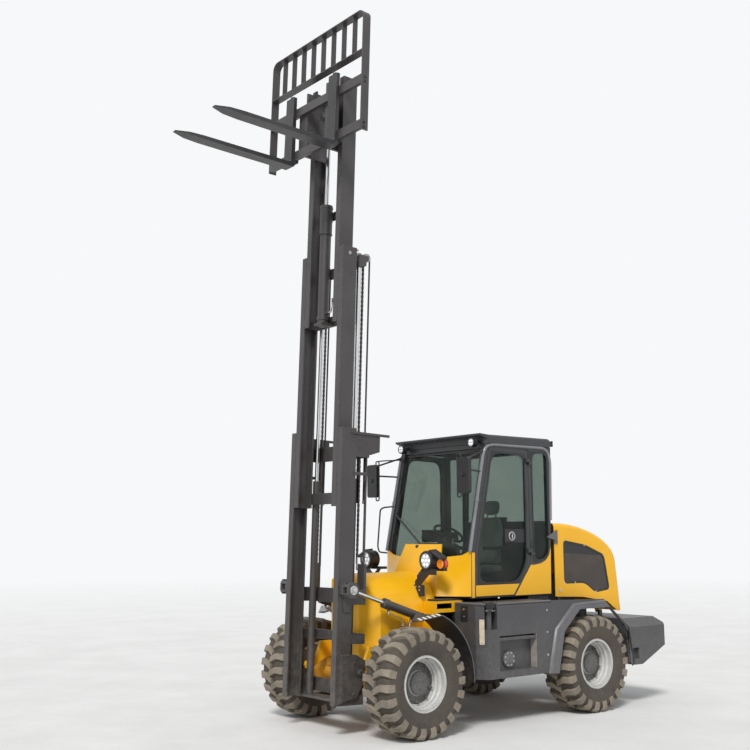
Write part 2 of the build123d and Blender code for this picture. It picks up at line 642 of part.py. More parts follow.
def cab_frame():
    """Side walls with door and quarter openings, door hinge lugs, cross rails, floor and back wall."""
    y0, y1 = CAB_HALF_W - PILLAR, CAB_HALF_W
    wall = slab_xz(SIDE, y0, y1) - slab(grow(DOOR, DOOR_GAP), y0 - 1, y1 + 1)
    parts = [wall - slab(outline(QUARTER, WINDOW_ROUND), y0 - 1, y1 + 1)]
    px, py = DOOR_PIN
    for z in HINGE_ZS:
        pin_top = z + HINGE_LUG_H + SEAT_GAP + HINGE_EYE_H
        parts.append(box(px - HINGE_REACH, DOOR_REAR_X - 1, y1 - 1, py + HINGE_EYE_R, z, z + HINGE_LUG_H))
        parts.append(upright_rod(px, py, z + 1, pin_top, DOOR_PIN_R))
    w = y0 + 1
    head_front = box(ROOF_FRONT_X - 60, ROOF_FRONT_X - 5, -w, w, CAB_EAVE_Z - 50, CAB_EAVE_Z)
    head_rear = box(CAB_REAR_X + 4, CAB_REAR_X + 60, -w, w, CAB_EAVE_Z - 60, CAB_EAVE_Z)
    waist = box(CAB_REAR_X + 40, CAB_REAR_X + 75, -w, w, WAIST_Z - 60, WAIST_Z)
    floor = box(CAB_REAR_X + 64, SILL_FRONT_X - 5, -w, w, CAB_FLOOR_Z, CAB_FLOOR_Z + FLOOR_T)
    back = slab_xz([(CAB_REAR_X + 64, CAB_FLOOR_Z + 10), (CAB_REAR_X + 40, WAIST_Z - 30),
                    (CAB_REAR_X + 60, WAIST_Z - 30), (CAB_REAR_X + 84, CAB_FLOOR_Z + 10)], -w, w)
    return fuse(*both(*parts), head_front, head_rear, waist, floor, back)


VISOR_SLOTS = 3


def cab_roof():
    """Rounded roof slab with a slotted sun visor in front."""
    w = CAB_HALF_W + 15
    body = box(CAB_REAR_X - 10, ROOF_FRONT_X + 10, -w, w, CAB_EAVE_Z, ROOF_TOP_Z)
    body = fillet(body.edges().filter_by(Axis.Z), 60)
    body = fillet(body.faces().sort_by(Axis.Z)[-1].edges(), 30)
    visor = slab_xz([(ROOF_FRONT_X - 40, CAB_EAVE_Z + 45), (ROOF_FRONT_X - 40, ROOF_TOP_Z - 5),
                     (VISOR_X, ROOF_TOP_Z + 5), (VISOR_X, ROOF_TOP_Z - 15)], -w, w)
    step = (VISOR_X - ROOF_FRONT_X - 20) / VISOR_SLOTS
    for i in range(VISOR_SLOTS):
        x = ROOF_FRONT_X + 15 + i * step
        for slot in both(box(x, x + 0.6 * step, 20, w - 50, CAB_EAVE_Z, ROOF_TOP_Z + 10)):
            visor = visor - slot
    return fuse(body, visor)


def cowl_level(wall, sill_x, z, front_x, front_y):
    """Level section of the cowl: full width at the sill, narrowing to its front edge."""
    w = CAB_HALF_W - wall
    points = [(sill_x, w), (front_x - wall, front_y), (front_x - wall, -front_y), (sill_x, -w)]
    return Pos(0, 0, z) * outline(points)


def front_panel():
    """Yellow cowl under the windscreen: tapers to the front frame, its top edge dips beside a middle hump."""
    top_x = SILL_FRONT_X + 60
    skin = loft([cowl_level(0, SILL_FRONT_X, CAB_FLOOR_Z + 20, NOSE_X, FRONT_HALF_W),
                 cowl_level(0, SILL_FRONT_X - 12, COWL_TOP_Z, top_x, 300)])
    wall = COWL_WALL
    hollow = loft([cowl_level(wall, SILL_FRONT_X - 30, CAB_FLOOR_Z + 40, NOSE_X, FRONT_HALF_W - wall / 2),
                   cowl_level(wall, SILL_FRONT_X - 42, COWL_TOP_Z + 1, top_x, 290)])
    body = skin - hollow - slab_xz(SIDE, -CAB_HALF_W - 1, CAB_HALF_W + 1)
    over = CAB_HALF_W + 1
    dip = slab_yz([(305, COWL_TOP_Z + 2), (345, COWL_DIP_Z), (600, COWL_DIP_Z + 25), (over, COWL_DIP_Z + 80),
                   (over, COWL_TOP_Z + 2)], SILL_FRONT_X - 100, NOSE_X)
    for cut in both(dip):
        body = body - cut
    return body


def glass():
    """Windscreen, rear window and the two quarter windows."""
    w = CAB_HALF_W - PILLAR
    low_x, high_x = SILL_FRONT_X - 35, ROOF_FRONT_X - 26
    top_z = CAB_EAVE_Z - 51
    screen = slab_xz([(low_x, COWL_DIP_Z - 5), (low_x, PILLAR_FOOT_Z), (high_x, top_z),
                      (high_x - GLASS_T, top_z), (low_x - GLASS_T, PILLAR_FOOT_Z),
                      (low_x - GLASS_T, COWL_DIP_Z - 5)], -w, w)
    low_x, high_x = CAB_REAR_X + 45, CAB_REAR_X + 30
    top_z = CAB_EAVE_Z - 61
    back = slab_xz([(low_x, WAIST_Z + 1), (high_x, top_z), (high_x + GLASS_T, top_z),
                    (low_x + GLASS_T, WAIST_Z + 1)], -w, w)
    y = CAB_HALF_W - 20
    return [screen, back, *both(slab(outline(QUARTER, WINDOW_ROUND), y - GLASS_T, y))]


def door():
    """Left door frame round its window, with a hinge eye over each lug."""
    y0, y1 = CAB_HALF_W - DOOR_T, CAB_HALF_W
    frame = slab_xz(DOOR, y0, y1) - slab(outline(DOOR_WINDOW, WINDOW_ROUND), y0 - 1, y1 + 1)
    px, py = DOOR_PIN
    for z in HINGE_ZS:
        z0 = z + HINGE_LUG_H + SEAT_GAP
        z1 = z0 + HINGE_EYE_H
        leaf = box(px, px + HINGE_REACH, py - 4, py + HINGE_EYE_R, z0, z1)
        pad = box(DOOR_REAR_X + 5, px + HINGE_REACH, y1 - 1, py, z0, z1)
        eye = fuse(leaf, pad, upright_rod(px, py, z0, z1, HINGE_EYE_R))
        frame = fuse(frame, eye - upright_rod(px, py, z0 - 1, z1 + 1, DOOR_PIN_R + RUN_FIT))
    return frame


def door_glass():
    """Window pane of the left door."""
    return slab(outline(DOOR_WINDOW, WINDOW_ROUND), CAB_HALF_W - 24, CAB_HALF_W - 24 + GLASS_T)


def seat():
    """Seat base, cushion, back and headrest."""
    z = CAB_FLOOR_Z + FLOOR_T
    x = CAB_REAR_X + 340
    base = box(x, x + 360, -190, 190, z, z + 180)
    cushion = box(x - 20, x + 460, -240, 240, z + 180, z + 300)
    back = slab_xz([(x - 20, z + 280), (x + 90, z + 280), (x - 10, z + 880), (x - 110, z + 880)], -230, 230)
    head = slab_xz([(x - 95, z + 870), (x - 15, z + 870), (x - 45, z + 1070), (x - 120, z + 1070)], -130, 130)
    return fuse(base, cushion, back, head)


def console():
    """Dash with the steering column and wheel, and the lever console beside the seat."""
    z = CAB_FLOOR_Z + FLOOR_T
    dash_x = SILL_FRONT_X - 190
    dash = slab_xz([(dash_x, z), (dash_x + 120, z), (dash_x + 120, z + 430), (dash_x + 40, z + 560),
                    (dash_x - 20, z + 520)], -330, 330)
    foot = Vector(dash_x + 30, 0, z + 380)
    head = Vector(dash_x - 150, 0, z + 668)
    level = Plane(origin=head, z_dir=head - foot)
    wheel = fuse(dash, rod(foot, head, 30), level * Torus(175, 14), level * Box(30, 350, 16))
    return [wheel, box(CAB_REAR_X + 370, CAB_REAR_X + 820, -560, -400, z, z + 430)]


def head_lamps():
    """Left headlamp and indicator on a bracket from the cover's shoulder."""
    x0, x1 = NOSE_X + 75, NOSE_X + 215
    y, z = 520, COVER_TOP_Z + 130
    arm = slab_xz([(x1 - 40, z - 295), (x1, z - 295), (x1, z - 160), (x1 - 80, z - 80), (x1 - 180, z - 80),
                   (x1 - 180, z - 110), (x1 - 90, z - 110), (x1 - 40, z - 175)], 365, 385)
    pod = rod((x0 + 20, y, z), (x1, y, z), 100)
    rim = rod((x1 - 18, y, z), (x1 + 4, y, z), 104)
    indicator = rod((x0, y + 140, z - 35), (x0 + 60, y + 140, z - 35), 58)
    bar = box(x0, x0 + 60, 365, y + 180, z - 110, z - 80)
    stems = [box(x0 + 20, x0 + 60, y - 30, y + 30, z - 90, z - 60),
             box(x0 + 10, x0 + 50, y + 125, y + 155, z - 90, z - 60)]
    cover = tunnel(FRONT_HALF_W, COVER_TOP_Z, FRONT_LOW_Z, NOSE_X, 0)
    foot = box(x1 - 40, x1, 300, FRONT_HALF_W + 15, z - 380, z - 260) - cover
    return fuse(arm, pod, rim, indicator, bar, *stems, foot)


def work_lamps():
    """Left front lamp under the visor and rear lamp behind the roof."""
    z = CAB_EAVE_Z + 8
    y = CAB_HALF_W - 110
    front = rod((VISOR_X - 40, y, z), (VISOR_X + 20, y, z), 50)
    arm = box(ROOF_FRONT_X + 10, VISOR_X - 30, y - 15, y + 15, z - 3, z + 25)
    rear = box(CAB_REAR_X - 80, CAB_REAR_X - 10, y - 50, y + 70, CAB_EAVE_Z + 20, CAB_EAVE_Z + 80)
    return [fuse(front, arm), rear]


def mirror_head():
    """Left mirror on its two stays."""
    x, y = SILL_FRONT_X + 145, CAB_HALF_W + 70
    z = CAB_EAVE_Z - 375
    head = box(x - 25, x + 25, y - 90, y + 90, z - 195, z + 195)
    head = fillet(head.edges().filter_by(Axis.X), 30)
    top = rod((x, y, z + 165), (ROOF_FRONT_X, CAB_HALF_W - 12, CAB_EAVE_Z - 80), 10)
    low = rod((x, y, z + 65), (ROOF_FRONT_X + 50, CAB_HALF_W - 12, z + 55), 10)
    stays = fuse(top, low) - slab_xz(SIDE, CAB_HALF_W - PILLAR - 1, CAB_HALF_W)
    return fuse(head, *stays.solids())


keep("cab_frame", cab_frame())
keep("cab_roof", cab_roof())
keep("cab_front_panel", front_panel())
keep("cab_glass", *glass())
keep("door_left", door())
keep("door_right", mirrored(door()))
keep("door_glass_left", door_glass())
keep("door_glass_right", mirrored(door_glass()))
keep("seat", seat())
keep("console", *console())
keep("lamps", *both(head_lamps(), *work_lamps()))
keep("mirrors", *both(mirror_head()))


# Hood
HOOD_CURVE = [(HOOD_X1 - 315, -15), (HOOD_X1 - 635, -85), (HOOD_X1 - 905, -200), (HOOD_X1 - 1055, -305),
              (HOOD_X1 - 1125, -425)]  # x, drop below the hood's top
HOOD_HEM = [(-3460, CW_Z1 + 70), (-3260, CW_Z1 + 195), (-2820, HOOD_FOOT_Z - 20)]
MESH = [(-2500, 1420), (-2500, 1930), (-2900, 1870), (-3240, 1750), (-3330, 1330), (-3060, 1300),
        (-2860, 1420)]


def hood_profile():
    """Side outline of the hood's skin."""
    curve = [(x, HOOD_TOP_Z + drop) for x, drop in HOOD_CURVE]
    return [(HOOD_X1, HOOD_FOOT_Z), (HOOD_X1, HOOD_TOP_Z), *curve, (HOOD_X0, CW_Z1 + 70), *HOOD_HEM]


def hood_hollow():
    """Side outline of the space under the skin, open below and towards the cab."""
    t = HOOD_WALL
    inner = [(x + t * 0.6, HOOD_TOP_Z + drop - t) for x, drop in HOOD_CURVE]
    low = [(x, z - 100) for x, z in HOOD_HEM]
    front = HOOD_X1 + 5
    return [(front, HOOD_FOOT_Z - 100), (front, HOOD_TOP_Z - t), *inner, (HOOD_X0 + t, CW_Z1 - 30), *low]


def hood():
    """Hood skin with mesh windows in its sides and two hinge eyes at the rear."""
    w, t = HOOD_HALF_W, HOOD_WALL
    shell = slab_xz(hood_profile(), -w, w) - slab_xz(hood_hollow(), t - w, w - t)
    x, z = HOOD_HINGE
    for window in both(slab_xz(MESH, w - t - 1, w + 1)):
        shell = shell - window
    eye = box(x - 22, HOOD_X0 + t, 295, 335, z - 20, z + 35) - cross_rod(x, z, 290, 340, HINGE_R + RUN_FIT)
    return fuse(shell, *both(eye))


keep("hood", hood())
keep("hood_mesh", *both(slab_xz(MESH, HOOD_HALF_W - HOOD_WALL, HOOD_HALF_W - HOOD_WALL + 6)))


# Mast
OUTER_PLATES = (  # bottom, top above the mast's foot
    (55, 195),
    (595, 695),
    (985, 1135),
    (2495, 2655),
)
HOSE_STRIP_Y = (HOSE_Y + 20, HOSE_Y + 40)


def channel(y_out, z0):
    """Left channel rail, open inward, with its outer face at y_out."""
    body = box(RAIL_REAR, RAIL_FRONT, y_out - FLANGE_W, y_out, z0, z0 + STAGE_L)
    hollow = box(RAIL_REAR + FLANGE_T, RAIL_FRONT - FLANGE_T, 0, y_out - WEB_T, z0 - 1, z0 + STAGE_L + 1)
    return body - hollow


def clevis():
    """Six-sided cheeks that hold the tilt rod's pin beside the left rail, with a gusset below."""
    x, z = TILT_B_UP
    out_y = TILT_Y + 60
    body = slab_xz([(x - 62, z - 30), (x - 30, z - 78), (x + 42, z - 78), (x + 68, z - 40), (x + 68, z + 40),
                    (x + 42, z + 78), (x - 30, z + 78), (x - 62, z + 30)], OUTER_Y - 1, out_y)
    body = body - box(x - 63, x + 53, TILT_Y - 32, TILT_Y + 32, z - 79, z + 79)
    slot = box(x + 52, x + 69, TILT_Y - 32, TILT_Y + 32, z - 30, z + 30)
    gusset = slab_xz([(x - 60, z - 220), (x + 20, z - 220), (x + 30, z - 77), (x - 45, z - 77)],
                     OUTER_Y - 1, OUTER_Y + 16)
    return fuse(body - slot, gusset, cross_rod(x, z, OUTER_Y + 2, out_y - 3, TILT_PIN_R))


def outer_side():
    """Left half of the outer stage."""
    web_in = OUTER_Y - WEB_T
    ear = slab_xz([(600, 335), (600, 800), (420, 800), (300, 740), (300, 540), (400, 380)],
                  OUTER_Y, OUTER_Y + EAR_T)
    ear = ear - cross_rod(PIVOT_X, PIVOT_Z, OUTER_Y - 1, OUTER_Y + EAR_T + 1, PIVOT_R + RUN_FIT)
    parts = [channel(OUTER_Y, MAST_Z0), ear, clevis()]
    for low, high in OUTER_PLATES:
        parts.append(box(CROSS_REAR, RAIL_REAR + 1, web_in, OUTER_Y, MAST_Z0 + low, MAST_Z0 + high))
    parts.append(box(CROSS_REAR, RAIL_REAR + 1, web_in, OUTER_Y, MAST_Z0, MAST_Z0 + 125))
    top = MAST_Z0 + STAGE_L
    parts.append(box(RAIL_REAR - 435, RAIL_REAR + 60, web_in, OUTER_Y + 14, top - 60, top - 35))
    parts.append(slab_xz([(RAIL_REAR - 1, top - 265), (RAIL_REAR - 1, top - 59), (150, top - 59),
                          (150, top - 225), (270, top - 265)], web_in, OUTER_Y))
    parts.append(box(RAIL_REAR - 145, RAIL_REAR + 30, web_in - 2, OUTER_Y + 12, top - 485, top - 455))
    plate_top = MAST_Z0 + OUTER_PLATES[2][1]
    ext_top = ANCHOR_Z + 60
    parts.append(box(CROSS_REAR, CROSS_REAR + PLATE_T, ARM_Y + 2, OUTER_Y, plate_top - 1, ext_top))
    hose0, hose1 = HOSE_X - 55.5, HOSE_X - 35.5
    y0, y1 = HOSE_STRIP_Y
    parts.append(box(hose0, hose1, y0, y1, ANCHOR_Z + 20, ANCHOR_TOP_Z))
    for z0, z1 in ((ext_top - 40, ext_top), (MAST_Z0 + 2515, MAST_Z0 + 2555)):
        parts.append(box(hose1 - 1, CROSS_REAR + 1, y0, y1, z0, z1))
    return parts


def outer_mast():
    """Outer stage: rails, cross plates, foot, pivot ears, clevises, top shelves and hose strips."""
    parts = both(*outer_side())
    for low, high in OUTER_PLATES:
        parts.append(box(CROSS_REAR, CROSS_REAR + PLATE_T, -OUTER_Y, OUTER_Y, MAST_Z0 + low, MAST_Z0 + high))
    parts.append(box(CROSS_REAR, RAIL_REAR - STAGE_GAP, 1 - OUTER_Y, OUTER_Y - 1, MAST_Z0, MAST_Z0 + FOOT_T))
    return lean(fuse(*parts))


def middle_mast():
    """Middle stage: rails, cross plates, the crosshead on the lift rods, sheaves and hose pulleys."""
    x0, x1 = RAIL_REAR - 22, RAIL_REAR - STAGE_GAP
    low = (MID_Z0 + 40, MID_Z0 + 160)
    high = (MID_TOP - 260, MID_TOP - 140)
    flange_y = MID_Y - FLANGE_W
    head_top = HEAD_Z + HEAD_T
    cheek_x = (LIFT_X - 15, LIFT_X + 33)
    pulley = cross_rod(HOSE_X, HOSE_Z, HOSE_Y - 12, HOSE_Y + 12, PULLEY_R)
    pulley_pin = cross_rod(HOSE_X, HOSE_Z, HOSE_Y - 13, HEAD_Y, 10)
    bracket = slab_xz([(LIFT_X + 38, HEAD_Z), (LIFT_X + 38, HEAD_Z + 130), (HOSE_X - 18, HEAD_Z + 130),
                       (HOSE_X - 18, HEAD_Z + 80), (HOSE_X + 14, HEAD_Z + 60), (HOSE_X + 14, HEAD_Z + 20),
                       (LIFT_X - 38, HEAD_Z)], HEAD_Y - 8, HEAD_Y)
    sheave = cross_rod(LIFT_X, SHEAVE_Z, LIFT_Y - CHAIN_W / 2, LIFT_Y + CHAIN_W / 2, SHEAVE_R)
    sheave_pin = cross_rod(LIFT_X, SHEAVE_Z, LIFT_Y - 30, LIFT_Y + 30, SHEAVE_PIN_R)
    parts = both(
        channel(MID_Y, MID_Z0),
        box(x0, RAIL_REAR + 1, MID_Y - WEB_T, MID_Y, *low),
        box(x0, RAIL_REAR + 1, flange_y, flange_y + 8, *high),
        box(*cheek_x, LIFT_Y - 30, LIFT_Y - 18, head_top - 1, head_top + 105),
        box(*cheek_x, LIFT_Y + 18, LIFT_Y + 30, head_top - 1, head_top + 105),
        sheave, sheave_pin, pulley, pulley_pin, bracket)
    parts.append(box(x0, x1, -MID_Y, MID_Y, *low))
    parts.append(box(x0, x1, -flange_y - 8, flange_y + 8, *high))
    parts.append(box(LIFT_X - 38, LIFT_X + 38, -HEAD_Y, HEAD_Y, HEAD_Z, head_top))
    parts.append(box(LIFT_X + 37, x0 + 1, -LIFT_Y + 35, LIFT_Y - 35, HEAD_Z, head_top))
    return lean(fuse(*parts))


INNER_PLATES = ((0, 120), (1230, 1330), (STAGE_L - 120, STAGE_L - 20))


def inner_mast():
    """Inner stage: rails, cross plates, the foot of the free lift cylinder and the chain arms."""
    half = INNER_Y - 1
    parts = both(channel(INNER_Y, INNER_Z0),
                 box(RAIL_REAR - 25, RAIL_REAR + 1, INNER_Y - 30, INNER_Y, ARM_Z0, ARM_Z1),
                 box(RAIL_REAR - 25, RAIL_REAR - STAGE_GAP, INNER_Y - 16, ARM_Y, ARM_Z0, ARM_Z1))
    for low, high in INNER_PLATES:
        parts.append(box(RAIL_REAR, RAIL_REAR + CROSS_T, -half, half, INNER_Z0 + low, INNER_Z0 + high))
    r = FREE_COLLAR_R
    parts.append(box(RAIL_REAR, FREE_X + 65, FREE_Y - r, FREE_Y + r, INNER_Z0, FREE_FOOT_Z))
    return lean(fuse(*parts))


def lift_barrel():
    """Left lift cylinder's barrel, standing on the outer stage's foot."""
    body = upright_rod(LIFT_X, LIFT_Y, MAST_Z0 + FOOT_T, LIFT_GLAND_Z, LIFT_BARREL_R)
    return lean(body - upright_rod(LIFT_X, LIFT_Y, MAST_Z0 + 95, LIFT_GLAND_Z + 1, LIFT_ROD_R + SEAT_GAP))


def lift_rod():
    """Left lift cylinder's rod, up to the middle stage's crosshead."""
    return lean(upright_rod(LIFT_X, LIFT_Y, LIFT_GLAND_Z - 180, HEAD_Z, LIFT_ROD_R))


def wrap(x, z, wheel_r, rear_end_z, front_end_z, y0, y1):
    """Band over a wheel: a run hangs down behind it and another in front."""
    inner = (wheel_r + SEAT_GAP) / cos(pi / 2 / WRAP_SIDES)
    angles = [pi * i / WRAP_SIDES for i in range(WRAP_SIDES + 1)]

    def arc(r, order):
        return [(x + r * cos(a), z + r * sin(a)) for a in order]

    outer = inner + CHAIN_T
    points = [(x + outer, front_end_z), *arc(outer, angles), (x - outer, rear_end_z), (x - inner, rear_end_z),
              *arc(inner, reversed(angles)), (x + inner, front_end_z)]
    return lean(slab_xz(points, y0, y1))


def lift_chain():
    """Left chain over its sheave, down to the inner stage's arm in front."""
    y0, y1 = LIFT_Y - CHAIN_W / 2, LIFT_Y + CHAIN_W / 2
    return wrap(LIFT_X, SHEAVE_Z, SHEAVE_R, CHAIN_END_Z, ARM_Z1 + RUN_FIT, y0, y1)


def mast_hose():
    """Left hose over its pulley, down to the crosshead in front."""
    return wrap(HOSE_X, HOSE_Z, PULLEY_R, CHAIN_END_Z, HEAD_Z + HEAD_T, HOSE_Y - 12, HOSE_Y + 12)


def anchor_chain():
    """Left chain's standing run with its anchor on the outer stage."""
    inner = (SHEAVE_R + SEAT_GAP) / cos(pi / 2 / WRAP_SIDES)
    x0, x1 = LIFT_X - inner - CHAIN_T, LIFT_X - inner
    y0 = LIFT_Y + CHAIN_W / 2 + STAGE_GAP
    run = box(x0, x1, y0, y0 + CHAIN_W - 2, ANCHOR_Z + 60, ANCHOR_TOP_Z)
    anchor = box(CROSS_REAR + PLATE_T, x1, y0, y0 + CHAIN_W - 2, ANCHOR_Z, ANCHOR_Z + 62)
    return lean(fuse(run, anchor))


def free_barrel():
    """Free lift cylinder's barrel with a collar and a tie to the inner stage."""
    body = upright_rod(FREE_X, FREE_Y, FREE_FOOT_Z, FREE_GLAND_Z, FREE_R)
    collar = upright_rod(FREE_X, FREE_Y, FREE_GLAND_Z - 330, FREE_GLAND_Z, FREE_COLLAR_R)
    low, high = [INNER_Z0 + level for level in INNER_PLATES[1]]
    tie = box(RAIL_REAR + CROSS_T, FREE_X, FREE_Y - 30, FREE_Y + 30, low + 20, high - 20)
    bore = upright_rod(FREE_X, FREE_Y, FREE_FOOT_Z + 30, FREE_GLAND_Z + 1, FREE_ROD_R + SEAT_GAP)
    return lean(fuse(body, collar, tie) - bore)


def free_rod():
    """Free lift cylinder's rod with its crosshead."""
    shaft = upright_rod(FREE_X, FREE_Y, FREE_GLAND_Z - 220, FREE_HEAD_Z, FREE_ROD_R)
    head = box(FREE_X - 35, FREE_X + 35, FREE_Y - 90, 90, FREE_HEAD_Z - 1, FREE_HEAD_Z + 60)
    return lean(fuse(shaft, head))


CHEEK_Y = (172.0, 200.0)


def carriage():
    """Fork carriage: two bars on cheek plates with rollers that run in the inner stage."""
    y0, y1 = CHEEK_Y
    parts = [box(CARRIAGE_FACE - 43, CARRIAGE_FACE, -BACKREST_HALF_W, BACKREST_HALF_W, z, z + BAR_H)
             for z in (BAR_Z, BAR_Z + BAR_STEP)]
    parts += both(box(RAIL_REAR + 34, CARRIAGE_FACE - 42, y0, y1, BAR_Z, BAR_Z + 760),
                  box(CARRIAGE_FACE - 60, CARRIAGE_FACE - 42, y0, INNER_Y + 30, BAR_Z + 50, BAR_Z + 560))
    roller_r = RAIL_DEPTH / 2 - FLANGE_T - 0.5
    for z in (BAR_Z + 270, BAR_Z + 690):
        parts += both(cross_rod(RAIL_FRONT - RAIL_DEPTH / 2, z, y0 - 1, INNER_Y - WEB_T - 4, roller_r))
    return lean(fuse(*parts))


def backrest():
    """Load backrest: a hoop with rounded corners, one rail and thin upright bars."""
    x0, x1 = CARRIAGE_FACE - BACKREST_D, CARRIAGE_FACE
    w, top = BACKREST_HALF_W, BACKREST_TOP
    height = top - BAR_Z
    outer = RectangleRounded(2 * (w + BAR_T), 2 * height, BACKREST_ROUND)
    inner = RectangleRounded(2 * w, 2 * (height - BAR_T), BACKREST_ROUND - BAR_T)
    face = facing_front(x0, BAR_Z) * (outer - inner)
    hoop = extrude(face, amount=x1 - x0) & box(x0, x1, -w - 50, w + 50, BAR_Z - 10, top + 10)
    rail_z = top - BACKREST_RAIL_DROP
    parts = [hoop, box(x0, x1, -w - 1, w + 1, rail_z, rail_z + BAR_T)]
    step = 2 * w / (BACKREST_BARS + 1)
    for i in range(BACKREST_BARS):
        y = -w + (i + 1) * step
        parts.append(box(x0 + 20, x1 - 15, y - 4, y + 4, rail_z + 1, top - BAR_T + 1))
    return lean(fuse(*parts))


def fork():
    """Left fork tine with its shank, tapered tip and rounded heel."""
    x0, x1 = CARRIAGE_FACE, CARRIAGE_FACE + FORK_T
    tip, top = CARRIAGE_FACE + FORK_REACH, FORK_Z0 + FORK_T
    body = slab_xz([(x0, FORK_Z0 + 20), (x0 + 6, FORK_Z0 + 6), (x0 + 20, FORK_Z0), (tip - 320, FORK_Z0 + 8),
                    (tip, FORK_Z0 + FORK_TIP_RISE), (tip, FORK_Z0 + FORK_TIP_RISE + 10), (tip - 320, top),
                    (x1 + 25, top), (x1 + 7, top + 7), (x1, top + 25), (x1 - 8, FORK_Z0 + SHANK_H),
                    (x0, FORK_Z0 + SHANK_H)], FORK_Y - FORK_W / 2, FORK_Y + FORK_W / 2)
    for s in (1, -1):
        nose = [(tip + 1, FORK_W), (tip + 1, 25), (tip - 150, FORK_W / 2 + 1), (tip - 150, FORK_W)]
        body = body - slab_xy([(x, FORK_Y - s * y) for x, y in nose], FORK_Z0 - 50, FORK_Z0 + 200)
    return lean(body)


keep("mast_outer", outer_mast())
keep("lift_barrels", *both(lift_barrel()))
keep("anchor_chains", *both(anchor_chain()))
keep("mast_middle", middle_mast())
keep("lift_rods", *both(lift_rod()))
keep("mast_chains", *both(lift_chain()))
keep("mast_hoses", *both(mast_hose()))
keep("mast_inner", inner_mast())
keep("free_lift_barrel", free_barrel())
keep("free_lift_rod", free_rod())
keep("carriage", carriage())
keep("backrest", backrest())
keep("fork_left", fork())
keep("fork_right", mirrored(fork()))


# Tilt cylinders
TILT_L = hypot(TILT_B[0] - TILT_A[0], TILT_B[1] - TILT_A[1])


def along(d):
    """Point of the left cylinder at a distance from the rear anchor towards the rod's pin."""
    t = d / TILT_L
    return TILT_A[0] + t * (TILT_B[0] - TILT_A[0]), TILT_Y, TILT_A[1] + t * (TILT_B[1] - TILT_A[1])


def tilt_barrel():
    """Left tilt cylinder's barrel with its rear eye."""
    body = rod(along(40), along(TILT_GLAND), TILT_BARREL_R)
    collar = rod(along(TILT_GLAND - 60), along(TILT_GLAND), TILT_BARREL_R + 7)
    eye = cross_rod(*TILT_A, TILT_Y - 28, TILT_Y + 28, TILT_BARREL_R)
    bore = rod(along(150), along(TILT_GLAND + 1), TILT_ROD_R + SEAT_GAP)
    return fuse(body, collar, eye) - bore - cross_rod(*TILT_A, TILT_Y - 60, TILT_Y + 60, TILT_PIN_R + RUN_FIT)


def tilt_rod():
    """Left tilt cylinder's rod with the eye on the mast's pin."""
    body = rod(along(TILT_GLAND - 200), along(TILT_L - 25), TILT_ROD_R)
    eye = cross_rod(*TILT_B, TILT_Y - 26, TILT_Y + 26, TILT_ROD_R + 20)
    return fuse(body, eye) - cross_rod(*TILT_B, TILT_Y - 60, TILT_Y + 60, TILT_PIN_R + 5)


keep("tilt_barrel_left", tilt_barrel())
keep("tilt_barrel_right", mirrored(tilt_barrel()))
keep("tilt_rod_left", tilt_rod())
keep("tilt_rod_right", mirrored(tilt_rod()))

for name, shape in NODES.items():
    export_step(shape, "parts/" + name + ".step")
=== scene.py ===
"""Looks of a rough terrain forklift around its fixed frame. Metres, +X forward, +Y left, +Z up."""
import json
from math import atan2, copysign, cos, exp, pi, radians, sin

import bmesh
import bpy
from mathutils import Matrix, Vector

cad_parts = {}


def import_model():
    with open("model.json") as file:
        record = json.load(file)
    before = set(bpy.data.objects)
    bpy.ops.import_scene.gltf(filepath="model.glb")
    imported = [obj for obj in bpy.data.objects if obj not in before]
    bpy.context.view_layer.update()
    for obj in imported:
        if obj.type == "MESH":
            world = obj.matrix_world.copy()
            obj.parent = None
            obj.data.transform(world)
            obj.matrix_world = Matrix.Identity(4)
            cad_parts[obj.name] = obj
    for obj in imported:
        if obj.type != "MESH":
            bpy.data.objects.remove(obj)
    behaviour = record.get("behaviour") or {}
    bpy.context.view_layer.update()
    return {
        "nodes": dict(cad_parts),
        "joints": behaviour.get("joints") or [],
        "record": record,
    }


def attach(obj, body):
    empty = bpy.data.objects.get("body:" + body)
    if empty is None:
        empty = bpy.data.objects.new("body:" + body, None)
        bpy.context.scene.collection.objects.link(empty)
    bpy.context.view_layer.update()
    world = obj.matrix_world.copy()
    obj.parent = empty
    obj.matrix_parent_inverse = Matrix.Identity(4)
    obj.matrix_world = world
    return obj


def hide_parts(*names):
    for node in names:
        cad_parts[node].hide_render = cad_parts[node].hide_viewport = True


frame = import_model()
JOINTS = {j["name"]: j for j in frame["joints"]}

# The frame's own places: the axles, the mast pivot and the lean of the mast
AXLE_X, TRACK_HALF, TYRE_R = JOINTS["wheel_front_left_spin"]["pos_m"]
REAR_X = JOINTS["wheel_rear_left_spin"]["pos_m"][0]
PIVOT = Vector(JOINTS["mast_tilt"]["pos_m"])
UP = Vector(JOINTS["carriage_slide"]["axis"])
LEAN = atan2(-UP.x, UP.z)


# Places: points are given from the front axle, on the ground
def at(x, y, z):
    """Point of the machine."""
    return Vector((x + AXLE_X, y, z))


def mast(x, y, z):
    """Point of the upright mast, where it stands with the mast leaned."""
    dx, dz = x + AXLE_X - PIVOT.x, z - PIVOT.z
    return Vector((PIVOT.x + dx * cos(LEAN) - dz * sin(LEAN), y, PIVOT.z + dx * sin(LEAN) + dz * cos(LEAN)))


def flip(place):
    """The same placing on the right-hand side."""
    return lambda x, y, z: place(x, -y, z)


def facing(place):
    """Placing for a plate that faces forward: its outline is in Y and Z, and its two sides are X values."""
    return lambda y, x, z: place(x, y, z)


# Each side's name, the sign of its Y, and the placing that takes positive Y to it
PLACES = (("left", 1, at), ("right", -1, flip(at)))
MAST_PLACES = (("left", 1, mast), ("right", -1, flip(mast)))
BOTH = (at, flip(at))


# Materials
MAT = {}


